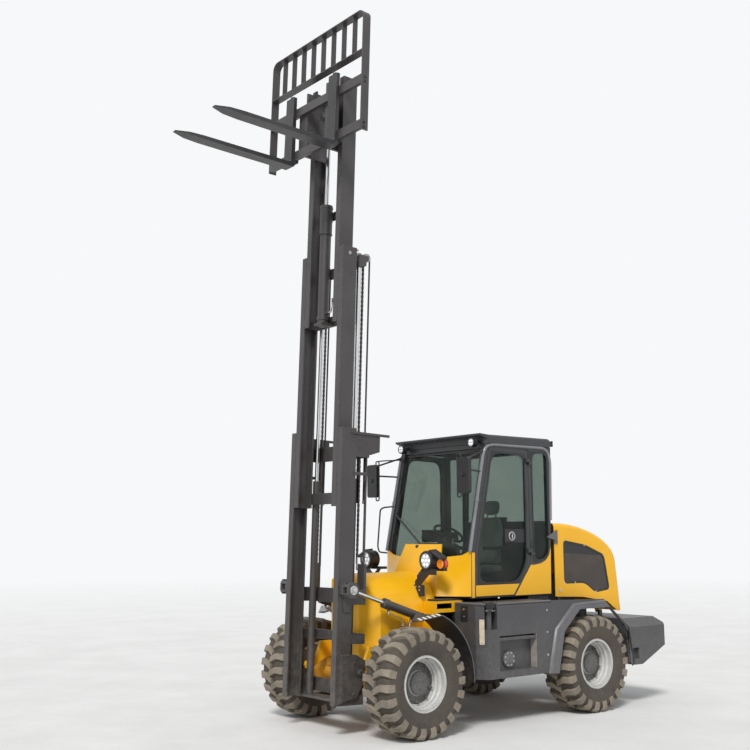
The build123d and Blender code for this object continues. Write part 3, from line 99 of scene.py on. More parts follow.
class Tree:
    """Short way to write one material's nodes. MAT keeps the material under its name."""

    def __init__(self, name):
        MAT[name] = material = bpy.data.materials.new(name)
        material.use_nodes = True
        self.nodes = material.node_tree.nodes
        self.links = material.node_tree.links
        self.shader = self.nodes["Principled BSDF"]
        self.place = self.add("ShaderNodeTexCoord").outputs["Object"]

    def add(self, kind, settings=None, **inputs):
        """New node with its own settings and its inputs."""
        node = self.nodes.new(kind)
        for key, value in (settings or {}).items():
            setattr(node, key, value)
        self.set(node, **inputs)
        return node

    def set(self, node, **inputs):
        """Values or sockets for a node's inputs, with _ for the spaces in their names."""
        for key, value in inputs.items():
            self.feed(node.inputs[key.replace("_", " ")], value)

    def feed(self, socket, value):
        """Link a socket, or set its value."""
        if isinstance(value, bpy.types.NodeSocket):
            self.links.new(value, socket)
        else:
            socket.default_value = value

    def feed_all(self, node, *values):
        """Values or sockets for a node's first inputs."""
        for i, value in enumerate(values):
            self.feed(node.inputs[i], value)

    def noise(self, scale, detail=4.0, roughness=0.55, place=None):
        node = self.add("ShaderNodeTexNoise", None, Vector=place or self.place, Scale=scale, Detail=detail,
                        Roughness=roughness)
        return node.outputs["Fac"]

    def wave(self, direction, scale, distortion):
        return self.add("ShaderNodeTexWave", {"bands_direction": direction}, Vector=self.place, Scale=scale,
                        Distortion=distortion).outputs["Fac"]

    def spread(self, value, low, high, to_low=0.0, to_high=1.0):
        """Value mapped from low..high to to_low..to_high and held there."""
        node = self.add("ShaderNodeMapRange")
        self.feed_all(node, value, low, high, to_low, to_high)
        return node.outputs[0]

    def sum(self, operation, a, b=0.0, held=False):
        node = self.add("ShaderNodeMath", {"operation": operation, "use_clamp": held})
        self.feed_all(node, a, b)
        return node.outputs[0]

    def vector_sum(self, operation, *vectors):
        node = self.add("ShaderNodeVectorMath", {"operation": operation})
        self.feed_all(node, *vectors)
        return node.outputs["Value"]

    def mix(self, factor, a, b):
        node = self.add("ShaderNodeMix", {"data_type": "RGBA"})
        self.feed(node.inputs["Factor"], factor)
        self.feed(node.inputs[6], a)
        self.feed(node.inputs[7], b)
        return node.outputs[2]

    def bump(self, height, strength, distance, **inputs):
        """Bump on the shader; Normal may be one of its inputs."""
        node = self.add("ShaderNodeBump", None, Height=height, Strength=strength, Distance=distance, **inputs)
        self.set(self.shader, Normal=node.outputs["Normal"])

    def xyz(self, vector=None):
        return self.add("ShaderNodeSeparateXYZ", None, Vector=vector or self.place).outputs

    def blend(self, factor, one, two):
        """Surface between two shaders."""
        mixer = self.add("ShaderNodeMixShader", None, Fac=factor)
        self.links.new(one.outputs[0], mixer.inputs[1])
        self.links.new(two.outputs[0], mixer.inputs[2])
        self.links.new(mixer.outputs[0], self.nodes["Material Output"].inputs["Surface"])


def shade(colour, factor):
    """Lighter or darker colour, with its alpha."""
    return tuple(min(1.0, c * factor) for c in colour[:3]) + (1.0,)


DUST = (0.3, 0.26, 0.21, 1)
BARE_METAL_AND_HIGHLIGHT = (0.3, 0.29, 0.28, 1)
RUST = (0.15, 0.1, 0.07, 1)


def coat(name, colour, rough=0.4, vary=0.07, dust=0.15, low_dust=0.3, patch=2.5, grain=260.0, wear_and_highlight=0.0,
         wear_and_highlight_colour=BARE_METAL_AND_HIGHLIGHT, clear=0.0):
    """Painted or moulded surface: cloudy colour, dust near the ground and on what looks up, and lighter edges
    that are partly real wear and partly painted highlight.
    """
    t = Tree(name)
    cloud = t.spread(t.noise(patch), 0.35, 0.65)
    body = t.mix(cloud, shade(colour, 1 - vary), shade(colour, 1 + vary))
    speck = t.noise(patch * 6, 7.0, 0.68)
    normal = t.add("ShaderNodeNewGeometry").outputs["Normal"]
    lying = t.spread(t.xyz(normal)[2], 0.2, 1.0)
    low = t.spread(t.xyz()[2], 1.3, 0.3, 0.0, low_dust)
    amount = t.sum("ADD", t.sum("MULTIPLY", lying, dust), low)
    settled = t.sum("MULTIPLY", amount, t.spread(speck, 0.38, 0.72), held=True)
    body = t.mix(settled, body, DUST)
    soft = t.add("ShaderNodeBevel", {"samples": 4}, Radius=0.005).outputs[0]
    # Lighter edges: real wear, and also a painted highlight along edges such as the tank's top rim.
    if wear_and_highlight:
        edge = t.spread(t.vector_sum("DOT_PRODUCT", soft, normal), 0.99, 0.86)
        worn_and_highlit = t.sum("MULTIPLY", edge, t.spread(t.noise(28.0, 5.0, 0.7), 0.5, 0.62, 0.0, wear_and_highlight), held=True)
        body = t.mix(worn_and_highlit, body, wear_and_highlight_colour)
    dull = t.sum("ADD", t.spread(speck, 0.3, 0.7, rough - 0.06, rough + 0.08),
                 t.sum("MULTIPLY", settled, 0.35), held=True)
    t.set(t.shader, Base_Color=body, Roughness=dull, Coat_Weight=clear, Coat_Roughness=0.12)
    t.bump(t.noise(grain, 3.0), 0.25, 0.0003, Normal=soft)


def tyre_rubber(name, dark, pale, dust):
    """Worn rubber with dried dust on it."""
    t = Tree(name)
    cloud = t.noise(5.0, 6.0, 0.6)
    fine = t.noise(60.0, 6.0, 0.7)
    rubber = t.mix(t.spread(fine, 0.3, 0.7), dark, pale)
    settled = t.sum("MULTIPLY", t.spread(cloud, 0.35, 0.62, 0.35, 0.85), t.spread(fine, 0.25, 0.6, 0.45, 1.0))
    t.set(t.shader, Base_Color=t.mix(settled, rubber, dust), Roughness=t.spread(fine, 0.3, 0.7, 0.78, 0.95))
    t.bump(t.sum("ADD", fine, t.noise(320.0, 3.0)), 0.5, 0.0012)


def glass(name, tint, see_through):
    """Thin tinted pane that lets part of the light straight through and carries faint dust."""
    t = Tree(name)
    t.set(t.shader, Base_Color=t.mix(t.spread(t.noise(3.0, 5.0), 0.4, 0.7, 0.0, 0.25), tint, DUST),
          Roughness=t.spread(t.noise(14.0, 5.0), 0.4, 0.7, 0.02, 0.09), Specular_IOR_Level=0.7)
    clear = t.add("ShaderNodeBsdfTransparent", None, Color=(0.74, 0.795, 0.765, 1))
    t.blend(1 - see_through, clear, t.shader)


def metal(name, colour, rough, stretch=(1, 1, 1), scale=40.0):
    """Bare metal with drawn or turned streaks."""
    t = Tree(name)
    mapping = t.add("ShaderNodeMapping", None, Vector=t.place, Scale=stretch)
    streak = t.noise(scale, 5.0, 0.6, mapping.outputs[0])
    t.set(t.shader, Base_Color=t.mix(t.spread(streak, 0.3, 0.7), shade(colour, 0.82), shade(colour, 1.1)),
          Roughness=t.spread(streak, 0.3, 0.7, rough * 0.8, rough * 1.4), Metallic=1.0)
    t.bump(streak, 0.15, 0.0002)


def lens(name, colour, glow):
    """Moulded lamp lens: fine ribs, a faint glow of its own."""
    t = Tree(name)
    ribs = t.wave("Y", 60.0, 0.4)
    t.set(t.shader, Base_Color=t.mix(t.spread(ribs, 0, 1, 0.0, 0.35), colour, shade(colour, 1.5)),
          Roughness=t.spread(t.noise(50.0), 0.3, 0.7, 0.08, 0.2),
          Emission_Color=t.mix(ribs, colour, shade(colour, 1.2)), Emission_Strength=glow)
    t.bump(ribs, 0.4, 0.001)


def cloth(name, colour):
    """Woven seat fabric."""
    t = Tree(name)
    weave = t.sum("MULTIPLY", t.wave("X", 120.0, 1.0), t.wave("Y", 120.0, 1.0))
    cloud = t.spread(t.noise(9.0, 6.0), 0.3, 0.7, 0.0, 0.4)
    tone = t.sum("ADD", t.sum("MULTIPLY", weave, 0.6), cloud, held=True)
    t.set(t.shader, Base_Color=t.mix(tone, shade(colour, 0.75), shade(colour, 1.25)),
          Roughness=t.spread(weave, 0, 1, 0.75, 0.95), Sheen_Weight=0.3)
    t.bump(weave, 0.5, 0.0008)


def perforated(name, colour, pitch=0.011):
    """Thin dark sheet with rows of small round holes that show what is behind."""
    t = Tree(name)
    x, z = t.xyz()[0], t.xyz()[2]
    row = t.sum("DIVIDE", z, pitch * 0.866)
    shift = t.sum("MULTIPLY", t.sum("FLOOR", row), 0.5)
    u = t.sum("SUBTRACT", t.sum("FRACT", t.sum("ADD", t.sum("DIVIDE", x, pitch), shift)), 0.5)
    v = t.sum("SUBTRACT", t.sum("FRACT", row), 0.5)
    far = t.sum("ADD", t.sum("MULTIPLY", u, u), t.sum("MULTIPLY", v, v))
    hole = t.spread(far, 0.115, 0.09)
    cloud = t.spread(t.noise(6.0, 5.0), 0.35, 0.65)
    t.set(t.shader, Base_Color=t.mix(cloud, shade(colour, 0.8), shade(colour, 1.3)),
          Roughness=t.spread(cloud, 0, 1, 0.45, 0.65))
    t.bump(hole, 0.3, 0.001)
    t.blend(hole, t.shader, t.add("ShaderNodeBsdfTransparent"))


coat("yellow_paint", (0.9, 0.46, 0.002), 0.36, vary=0.03, dust=0.03, low_dust=0.25, wear_and_highlight=0.5, clear=0.12)
coat("charcoal_paint", (0.062, 0.062, 0.067), 0.42, vary=0.1, dust=0.22, wear_and_highlight=0.7)
coat("mast_paint", (0.056, 0.051, 0.05), vary=0.12, dust=0.2, low_dust=0.35, wear_and_highlight=0.8)
coat("axle_paint", (0.8, 0.36, 0.008), 0.45, vary=0.15, dust=0.35, low_dust=0.35, wear_and_highlight=0.5)
coat("engine_iron", (0.06, 0.06, 0.062), 0.6, vary=0.2, dust=0.3)
coat("charcoal_plastic", (0.04, 0.041, 0.045), 0.5, vary=0.08, dust=0.3, grain=500.0)
coat("black_plastic", (0.016, 0.016, 0.018), 0.45, vary=0.15, dust=0.25, low_dust=0.2, grain=500.0)
coat("cab_paint", (0.034, 0.036, 0.04), 0.34, vary=0.1, wear_and_highlight=0.5)
coat("fork_paint", (0.03, 0.029, 0.031), 0.36, vary=0.2, dust=0.1, wear_and_highlight=1.0)
coat("rim_paint", (0.56, 0.56, 0.54), vary=0.06, dust=0.2, low_dust=0.45, patch=7.0, wear_and_highlight=0.4,
     wear_and_highlight_colour=RUST)
coat("hub_paint", (0.085, 0.085, 0.088), 0.45, vary=0.12, dust=0.3, low_dust=0.45, patch=8.0)
# Its lighter worn edges also paint the highlight along the tank's rounded top rim.
coat("tank_grey", (0.115, 0.115, 0.122), 0.38, vary=0.08, dust=0.25, wear_and_highlight=0.7)
# Light grey of the cab's bent tube: partly a grey rail, partly a painted highlight along the cab frame's
# edge.
coat("pillar_grey_painted_highlight", (0.2, 0.2, 0.215), 0.3, vary=0.05, dust=0.1, clear=0.3)
coat("weld_dust", (0.3, 0.27, 0.24), 0.7, vary=0.2, dust=0.4, patch=12.0)
coat("hose_rubber", (0.022, 0.022, 0.023), 0.6, vary=0.2, dust=0.3, grain=400.0)
coat("pale_reflector", (0.62, 0.52, 0.38), 0.35, vary=0.1, patch=20.0)
coat("white_mark", (0.75, 0.75, 0.73), 0.35, vary=0.04, dust=0.1)
metal("bolt_steel", (0.42, 0.41, 0.39), 0.38)
metal("rod_chrome", (0.72, 0.72, 0.73), 0.12, (1, 1, 0.05), 30.0)
metal("chain_steel", (0.1, 0.095, 0.09), 0.42)
metal("pipe_steel", (0.6, 0.6, 0.58), 0.3)
metal("mirror_glass", (0.75, 0.78, 0.8), 0.05)
tyre_rubber("tyre_rubber", (0.03, 0.027, 0.024, 1), (0.06, 0.052, 0.044, 1), (0.105, 0.086, 0.066, 1))
tyre_rubber("lug_rubber", (0.1, 0.086, 0.068, 1), (0.15, 0.128, 0.1, 1), (0.33, 0.28, 0.215, 1))
glass("window_glass", (0.018, 0.03, 0.026, 1), 0.8)
cloth("seat_fabric", (0.34, 0.36, 0.35))
perforated("mesh_metal", (0.085, 0.074, 0.066))
lens("white_lens", (0.42, 0.45, 0.48, 1), 0.1)
lens("diode_lens", (0.8, 0.82, 0.84, 1), 0.45)
lens("amber_lens", (0.9, 0.25, 0.01, 1), 0.25)
lens("red_lens", (0.62, 0.055, 0.008, 1), 0.1)


# Mesh helpers
def circle(count, radius=1.0, start=0.0):
    """Pairs evenly round a circle; start is the first one's share of a step."""
    angles = [2 * pi * (k + start) / count for k in range(count)]
    return [(radius * cos(a), radius * sin(a)) for a in angles]


def across(along):
    """Two directions square to a unit vector and to each other."""
    side = along.orthogonal().normalized()
    return side, along.cross(side)


def skin(bm, loops):
    """Faces from each closed loop of vertices to the next."""
    for a, b in zip(loops, loops[1:]):
        for i in range(len(a)):
            j = (i + 1) % len(a)
            bm.faces.new((a[i], a[j], b[j], b[i]))


def quad_ring(bm, rings):
    """Skin through rings of as many points, with flat ends."""
    loops = [[bm.verts.new(p) for p in ring] for ring in rings]
    skin(bm, loops)
    bm.faces.new(loops[0][::-1])
    bm.faces.new(loops[-1])


def block(bm, lo, hi, place=at):
    """Block between two corners."""
    (x0, y0, z0), (x1, y1, z1) = lo, hi
    quad_ring(bm, [[place(x, y, z) for x, y in ((x0, y0), (x1, y0), (x1, y1), (x0, y1))] for z in (z0, z1)])


def rod(bm, p, q, radius, sides=24, end_radius=None):
    """Round bar or cone from p to q."""
    p, q = Vector(p), Vector(q)
    side, other = across((q - p).normalized())
    ends = ((p, radius), (q, radius if end_radius is None else end_radius))
    quad_ring(bm, [[end + side * u + other * v for u, v in circle(sides, r)] for end, r in ends])


def turned(bm, profile, centre, sides=64, axis=(0, 1, 0)):
    """Closed profile of (radius, distance along the axis) points turned about an axis through centre."""
    axis = Vector(axis).normalized()
    side, other = across(axis)
    loops = [[bm.verts.new(centre + (side * u + other * v) * r + axis * h) for r, h in profile]
             for u, v in circle(sides)]
    skin(bm, loops + loops[:1])


def hex_bolt(bm, base, direction, size=0.012, height=0.008):
    """Bolt head with a washer; base is on the surface that it clamps."""
    direction = Vector(direction).normalized()
    base = Vector(base)
    washer = base + direction * (height * 0.2)
    rod(bm, base, washer, size * 1.25, 14)
    rod(bm, washer, base + direction * height, size, 6, size * 0.96)


def bolts(bm, spots, direction, size=0.012, height=0.008):
    """The same bolt at each of the spots."""
    for spot in spots:
        hex_bolt(bm, spot, direction, size, height)


def linked(name, data):
    """New object in the scene."""
    obj = bpy.data.objects.new(name, data)
    bpy.context.scene.collection.objects.link(obj)
    return obj


def meshed(bm, name):
    """New object with what bm holds; bm is freed."""
    mesh = bpy.data.meshes.new(name)
    bm.to_mesh(mesh)
    bm.free()
    return linked(name, mesh)


def piece(bm, name, material, body="body", replaces=(), bevel=0.0, sharp=38.0, wall=0.0,
          weighted=False):
    """One finished object on its body."""
    bmesh.ops.remove_doubles(bm, verts=bm.verts, dist=1e-6)
    bmesh.ops.dissolve_degenerate(bm, edges=bm.edges, dist=1e-6)
    bmesh.ops.recalc_face_normals(bm, faces=bm.faces)
    for face in bm.faces:
        face.smooth = True
    for edge in bm.edges:
        if len(edge.link_faces) == 2 and edge.calc_face_angle(0.0) > radians(sharp):
            edge.smooth = False
    obj = meshed(bm, name)
    obj.data.materials.append(MAT[material])
    if bevel:
        mod = obj.modifiers.new("edges", "BEVEL")
        mod.width = bevel
        mod.segments = 2
        mod.limit_method = "ANGLE"
        mod.angle_limit = radians(sharp)
    if wall:
        mod = obj.modifiers.new("wall", "SOLIDIFY")
        mod.thickness = wall
        mod.offset = -1.0
        mod.use_even_offset = True
    if weighted:
        obj.modifiers.new("normals", "WEIGHTED_NORMAL").keep_sharp = True
    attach(obj, body)
    if replaces:
        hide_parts(*replaces)


def tube(bm, path, radius, sides=12):
    """Round bar along a list of points."""
    path = [Vector(p) for p in path]
    side = (path[1] - path[0]).orthogonal().normalized()
    rings = []
    for i, point in enumerate(path):
        before = (point - path[max(i - 1, 0)]).normalized()
        after = (path[min(i + 1, len(path) - 1)] - point).normalized()
        ahead = (before + after).normalized()
        side = (side - ahead * side.dot(ahead)).normalized()
        other = ahead.cross(side)
        rings.append([point + side * u + other * v for u, v in circle(sides, radius)])
    quad_ring(bm, rings)


def bend(a, b, c, reach, steps):
    """Points of a rounded corner at b."""
    start = b + (a - b).normalized() * min(reach, (a - b).length * 0.45)
    end = b + (c - b).normalized() * min(reach, (c - b).length * 0.45)
    return [start * (1 - t) ** 2 + b * (2 * t * (1 - t)) + end * t ** 2
            for t in [i / steps for i in range(steps + 1)]]


def pipe(bm, corners, radius, reach=0.03):
    """Round bar through corners that it goes round in bends."""
    corners = [Vector(p) for p in corners]
    path = [corners[0]]
    for a, b, c in zip(corners, corners[1:], corners[2:]):
        path += bend(a, b, c, reach, 6)
    tube(bm, path + [corners[-1]], radius)


def rounded(corners, reach):
    """Closed outline of pairs with rounded corners."""
    corners = [Vector(p) for p in corners]
    points = []
    for i, b in enumerate(corners):
        points += bend(corners[i - 1], b, corners[(i + 1) % len(corners)], reach, 5)
    return [tuple(p) for p in points]


def inset(corners, gap):
    """Closed outline moved inward by a gap, or outward where the gap is negative."""
    corners = [Vector(p) for p in corners]
    turn = sum(a.x * b.y - b.x * a.y for a, b in zip(corners, corners[1:] + corners[:1]))
    gap = copysign(gap, turn * gap)
    moved = []
    for i, b in enumerate(corners):
        one = (b - corners[i - 1]).normalized()
        two = (corners[(i + 1) % len(corners)] - b).normalized()
        n1, n2 = Vector((-one.y, one.x)), Vector((-two.y, two.x))
        middle = (n1 + n2).normalized()
        moved.append(tuple(b + middle * (gap / max(0.4, middle.dot(n1)))))
    return moved


def plate(bm, outline, y0, y1, place=at):
    """Plate with its outline in X and Z, between two Y values."""
    quad_ring(bm, [[place(x, y, z) for x, z in outline] for y in (y0, y1)])


def ring_plate(bm, outer, inner, y0, y1, place=at):
    """Flat ring between two outlines of as many points, between two Y values."""
    loops = [[bm.verts.new(place(x, y, z)) for x, z in outline]
             for outline, y in ((outer, y0), (outer, y1), (inner, y1), (inner, y0))]
    skin(bm, loops + loops[:1])


def box_outline(x0, x1, z0, z1):
    """Outline of a rectangle."""
    return [(x0, z0), (x1, z0), (x1, z1), (x0, z1)]


def disc(bm, place, x, y, z, radius, depth, sides=36, end_radius=None):
    """Round plate that faces forward, or backward where its depth is negative."""
    rod(bm, place(x, y, z), place(x + depth, y, z), radius, sides, end_radius)


def pin(bm, place, x, y0, y1, z, radius, sides=24):
    """Round bar across the machine, between two Y values."""
    rod(bm, place(x, y0, z), place(x, y1, z), radius, sides)


def post(bm, place, x, y, z0, z1, radius, sides=24, end_radius=None):
    """Upright round bar, between two heights."""
    rod(bm, place(x, y, z0), place(x, y, z1), radius, sides, end_radius)


def roller_chain(bm, path, y, pitch=0.0254, half_w=0.011, height=0.02):
    """Leaf links and pins along a path of X, Z points of the upright mast."""
    path = [Vector(p) for p in path]
    spots, left_over = [path[0]], 0.0
    for a, b in zip(path, path[1:]):
        length, reached = (b - a).length, pitch - left_over
        while reached <= length:
            spots.append(a + (b - a) * (reached / length))
            reached += pitch
        left_over = length - (reached - pitch)
    for i, (a, b) in enumerate(zip(spots, spots[1:])):
        ahead = (b - a).normalized()
        up = Vector((-ahead.y, ahead.x)) * (height / 2)
        start, end = a - ahead * (height * 0.4), b + ahead * (height * 0.4)
        outline = [start - up * 0.5, a - up, b - up, end - up * 0.5,
                   end + up * 0.5, b + up, a + up, start + up * 0.5]
        layers = ((-0.95, -0.6), (-0.15, 0.15), (0.6, 0.95)) if i % 2 else ((-0.56, -0.18), (0.18, 0.56))
        for low, high in layers:
            plate(bm, outline, y + low * half_w, y + high * half_w, mast)
    for spot in spots:
        pin(bm, mast, spot.x, y - half_w * 1.12, y + half_w * 1.12, spot.y, 0.0042, 8)


def over_wheel(x, z, radius, front_z, rear_z, steps=14):
    """X, Z points up in front of a wheel, over it and down behind it."""
    arc = [(x + radius * cos(pi * i / steps), z + radius * sin(pi * i / steps)) for i in range(steps + 1)]
    return [(x + radius, front_z), *arc, (x - radius, rear_z)]


def dress_nodes():
    """Materials on the frame's own nodes: the record's, but for the painted cab, hood and front."""
    own = {"front_frame": "yellow_paint", "cab_front_panel": "yellow_paint", "hood": "yellow_paint",
           "cab_frame": "cab_paint", "door_left": "cab_paint", "door_right": "cab_paint"}
    slots = {row["node"]: row["material_slot"] for row in frame["record"]["subparts"]}
    for name, obj in frame["nodes"].items():
        obj.data.materials.clear()
        obj.data.materials.append(MAT[own.get(name) or slots[name]])


dress_nodes()


# Wheels
LUGS = 22
LUG_TOP, LUG_FOOT = 0.42, 0.5  # widths as shares of the lugs' pitch
TYRE_SIDES = 88
TYRE_CORE_R = 0.505
CROWN = (  # distance from the middle plane, radius, turn of the lug in pitches
    (-0.012, 0.5375, 0.34), (0.055, 0.5375, 0.1), (0.095, 0.5365, 0.0), (0.15, 0.533, 0.0),
    (0.182, 0.524, 0.0), (0.202, 0.505, 0.0), (0.2045, 0.47, 0.0), (0.2, 0.445, 0.0))
TYRE_WALL = ((0.264, 0.157), (0.278, 0.166), (0.3, 0.178), (0.35, 0.192), (0.42, 0.199), (0.455, 0.197),
             (0.485, 0.186), (TYRE_CORE_R, 0.15))
HUB_COVER = ((0.0, 0.08), (0.1, 0.08), (0.108, 0.0785), (0.1175, 0.0675), (0.1185, 0.049),
             (0.13, 0.041), (0.151, 0.039), (0.164, 0.031), (0.204, 0.03), (0.206, 0.0285), (0.0, 0.0285))


def ridge(bm, centre, r, h, half_w, rise, side):
    """Raised ring on the side of a wheel."""
    turned(bm, [(r - half_w, side * (h - 0.006)), (r, side * (h + rise)), (r + half_w, side * (h - 0.006))],
           centre, TYRE_SIDES)


def tyre(name, centre, body):
    """Casing with ridges on its walls, and the lugs, which turn inward over the crown."""
    bm = bmesh.new()
    turned(bm, [*TYRE_WALL, *[(r, -h) for r, h in reversed(TYRE_WALL)]], centre, TYRE_SIDES)
    for r, h in ((0.3, 0.1795), (0.372, 0.196), (0.432, 0.2005)):
        for half in (1, -1):
            ridge(bm, centre, r, h, 0.004, 0.0015, half)
    piece(bm, "tyre_casing_" + name, "tyre_rubber", body, ["tyre_" + name], bevel=0.004)
    bm = bmesh.new()
    pitch = 2 * pi / LUGS
    for half in (1, -1):
        for k in range(LUGS):
            rings = []
            for h, r, twist in CROWN:
                low = min(TYRE_CORE_R - 0.006, r - 0.03)
                grow = 1.0 + 0.25 * max(0.0, (h - 0.15) / 0.055)
                ring = []
                for radius, turn in ((low, -LUG_FOOT), (r, -LUG_TOP), (r, LUG_TOP), (low, LUG_FOOT)):
                    a = (k + (0.5 if half < 0 else 0.0) + turn * grow / 2 - twist) * pitch
                    ring.append(centre + Vector((radius * cos(a), half * h, radius * sin(a))))
                rings.append(ring)
            quad_ring(bm, rings)
    piece(bm, "tyre_lugs_" + name, "lug_rubber", body, ["tyre_" + name], bevel=0.0035,
          sharp=22.0)


def around(centre, radius, side, out, count, start=0.0):
    """Points evenly round a wheel's axis, at a distance out from its middle plane."""
    return [centre + Vector((u, side * out, v)) for u, v in circle(count, radius, start)]


def wheel_trim(name, centre, side, body):
    """Dark planetary hub with its bolts, wheel nuts on studs, the valve and the rim's beads."""
    bm = bmesh.new()
    turned(bm, [(r, side * h) for r, h in HUB_COVER], centre, 72)
    outward = Vector((0, side, 0))
    nuts = around(centre, 0.184, side, 0.0295, 10, 0.5)
    bolts(bm, nuts, outward, 0.0155, 0.02)
    bolts(bm, around(centre, 0.0885, side, 0.0798, 12), outward, 0.0065, 0.006)
    for spot in nuts:
        rod(bm, spot, spot + outward * 0.034, 0.0075, 10)
    for spot in around(centre, 0.05, side, 0.0795, 3, 0.2):
        rod(bm, spot, spot + outward * 0.005, 0.014, 6)
    piece(bm, "planetary_hub_" + name, "hub_paint", body, bevel=0.0012)
    bm = bmesh.new()
    foot, tip = [around(centre, r, side, out, 7)[2] for r, out in ((0.247, 0.108), (0.236, 0.15))]
    rod(bm, foot, tip, 0.0045, 10)
    rod(bm, foot, foot + (tip - foot) * 0.3, 0.0085, 10)
    piece(bm, "valve_" + name, "bolt_steel", body)
    bm = bmesh.new()
    for r, h in ((0.2755, 0.1652), (0.2535, 0.163)):
        ridge(bm, centre, r, h, 0.005, 0.004, side)
    piece(bm, "rim_beads_" + name, "rim_paint", body)


for end, axle_x in (("front", AXLE_X), ("rear", REAR_X)):
    for hand, s, _ in PLACES:
        wheel = f"{end}_{hand}"
        hub = Vector((axle_x, s * TRACK_HALF, TYRE_R))
        tyre(wheel, hub, "wheel_" + wheel)
        wheel_trim(wheel, hub, s, "wheel_" + wheel)


# Mast
CHAIN_X, CHAIN_Y, CHAIN_TOP, CHAIN_BEND = 0.392, 0.33, 4.975, 0.0553
HOSE_X, HOSE_Y, HOSE_TOP, HOSE_BEND = 0.318, 0.36, 4.99, 0.044
HOSE_PAIR = (-0.0062, 0.0062)
STAND_X, STAND_Y = 0.3351, 0.358
TILT_PIN_X, TILT_PIN_Z = 0.5601, 1.4382
FREE_X, FREE_Y, FREE_UNION_Z = 0.575, -0.06, 4.392


def mast_chains():
    """Lift chains over their wheels, and the standing chains with their anchors."""
    bm = bmesh.new()
    for s in (1, -1):
        roller_chain(bm, over_wheel(CHAIN_X, CHAIN_TOP, CHAIN_BEND, 4.512, 2.325), s * CHAIN_Y)
    piece(bm, "leaf_chains", "chain_steel", "mast_middle_stage", ["mast_chains"])
    bm = bmesh.new()
    for s in (1, -1):
        roller_chain(bm, [(STAND_X, 1.755), (STAND_X, 2.895)], s * STAND_Y, half_w=0.0105)
    piece(bm, "standing_chains", "chain_steel", "mast", ["anchor_chains"])
    bm = bmesh.new()
    for s in (1, -1):
        y = s * STAND_Y
        plate(bm, box_outline(0.326, 0.344, 1.7, 1.768), y - 0.0105, y + 0.0105, mast)
        post(bm, mast, STAND_X, y, 1.642, 1.702, 0.0085, 14)
        for z in (1.652, 1.668, 1.69):
            post(bm, mast, STAND_X, y, z, z + 0.011, 0.012, 6)
        pin(bm, mast, STAND_X, y - 0.0125, y + 0.0125, 1.755, 0.006, 12)
        rod(bm, mast(0.329, y, 1.6405), mast(0.345, y, 1.6415), 0.006, 6)
    piece(bm, "chain_anchors", "pipe_steel", "mast", bevel=0.001)


def mast_hoses():
    """Hose pairs over their wheels, their end fittings, and the flanges of both kinds of wheel."""
    bm = bmesh.new()
    for s in (1, -1):
        for shift in HOSE_PAIR:
            path = over_wheel(HOSE_X, HOSE_TOP, HOSE_BEND, 4.906, 2.322, 20)
            tube(bm, [mast(x, s * HOSE_Y + shift, z) for x, z in path], 0.006)
    piece(bm, "mast_hose_pairs", "hose_rubber", "mast_middle_stage", ["mast_hoses"])
    bm = bmesh.new()
    for s in (1, -1):
        for y in [s * HOSE_Y + shift for shift in HOSE_PAIR]:
            for x, z, length in ((HOSE_X - HOSE_BEND, 2.322, 0.034), (HOSE_X + HOSE_BEND, 4.905, 0.03)):
                post(bm, mast, x, y, z, z + length, 0.0076, 12)
                post(bm, mast, x, y, z + 0.004, z + 0.014, 0.0088, 6)
        for x, y, z, r0, r1 in ((HOSE_X, HOSE_Y, HOSE_TOP, 0.01, 0.0475),
                                (CHAIN_X, CHAIN_Y, CHAIN_TOP, 0.012, 0.056)):
            for offset in (-0.0145, 0.0125):
                turned(bm, box_outline(r0, r1, 0.0, 0.002), mast(x, s * y + offset, z), 40)
    piece(bm, "wheel_flanges", "bolt_steel", "mast_middle_stage")


def mast_bolts(hand, s, place):
    """Bolt heads, keeper plates and tilt pin nut on one side of the outer and middle stages."""
    side = (0, s, 0)
    bm = bmesh.new()
    bolts(bm, [place(x, 0.494, z) for x in (0.44, 0.56) for z in (0.42, 0.72)], side, 0.011)
    bolts(bm, [place(0.36, 0.5005, 0.62)], side, 0.034, 0.018)
    for x, z in ((0.425, 2.9), (0.425, 2.985), (0.5, 3.005)):
        hex_bolt(bm, place(x, 0.464, z), side, 0.01, 0.007)
    plate(bm, box_outline(0.335, 0.352, 0.555, 0.59), 0.5, 0.504, place)
    for z in (0.662, 0.997):
        plate(bm, box_outline(0.318, 0.46, z, z + 0.006), 0.4645, 0.468, place)
    piece(bm, "mast_bolts_" + hand, "mast_paint", "mast", bevel=0.001)
    bm = bmesh.new()
    for y0, y1, r, sides in ((0.6145, 0.6175, 0.046, 28), (0.616, 0.634, 0.033, 6),
                             (0.634, 0.642, 0.0165, 18)):
        pin(bm, place, TILT_PIN_X, y0, y1, TILT_PIN_Z, r, sides)
    for u, v in circle(6, 0.022):
        x, z = TILT_PIN_X + u, TILT_PIN_Z + v
        pin(bm, place, x, 0.634, 0.64, z, 0.007, 6)
    piece(bm, "castle_nut_" + hand, "pipe_steel", "mast", bevel=0.001)
    bm = bmesh.new()
    bolts(bm, [place(0.455, 0.385, 5.045)], side, 0.01, 0.006)
    pin(bm, place, 0.56, 0.3825, 0.3845, 5.0, 0.02, 20)
    rear = UP.cross(Vector((0, 1, 0)))
    bolts(bm, [place(0.443, y, z) for y in (0.2, 0.26) for z in (2.36, 2.44)], rear, 0.009, 0.006)
    piece(bm, "middle_stage_bolts_" + hand, "bolt_steel", "mast_middle_stage")


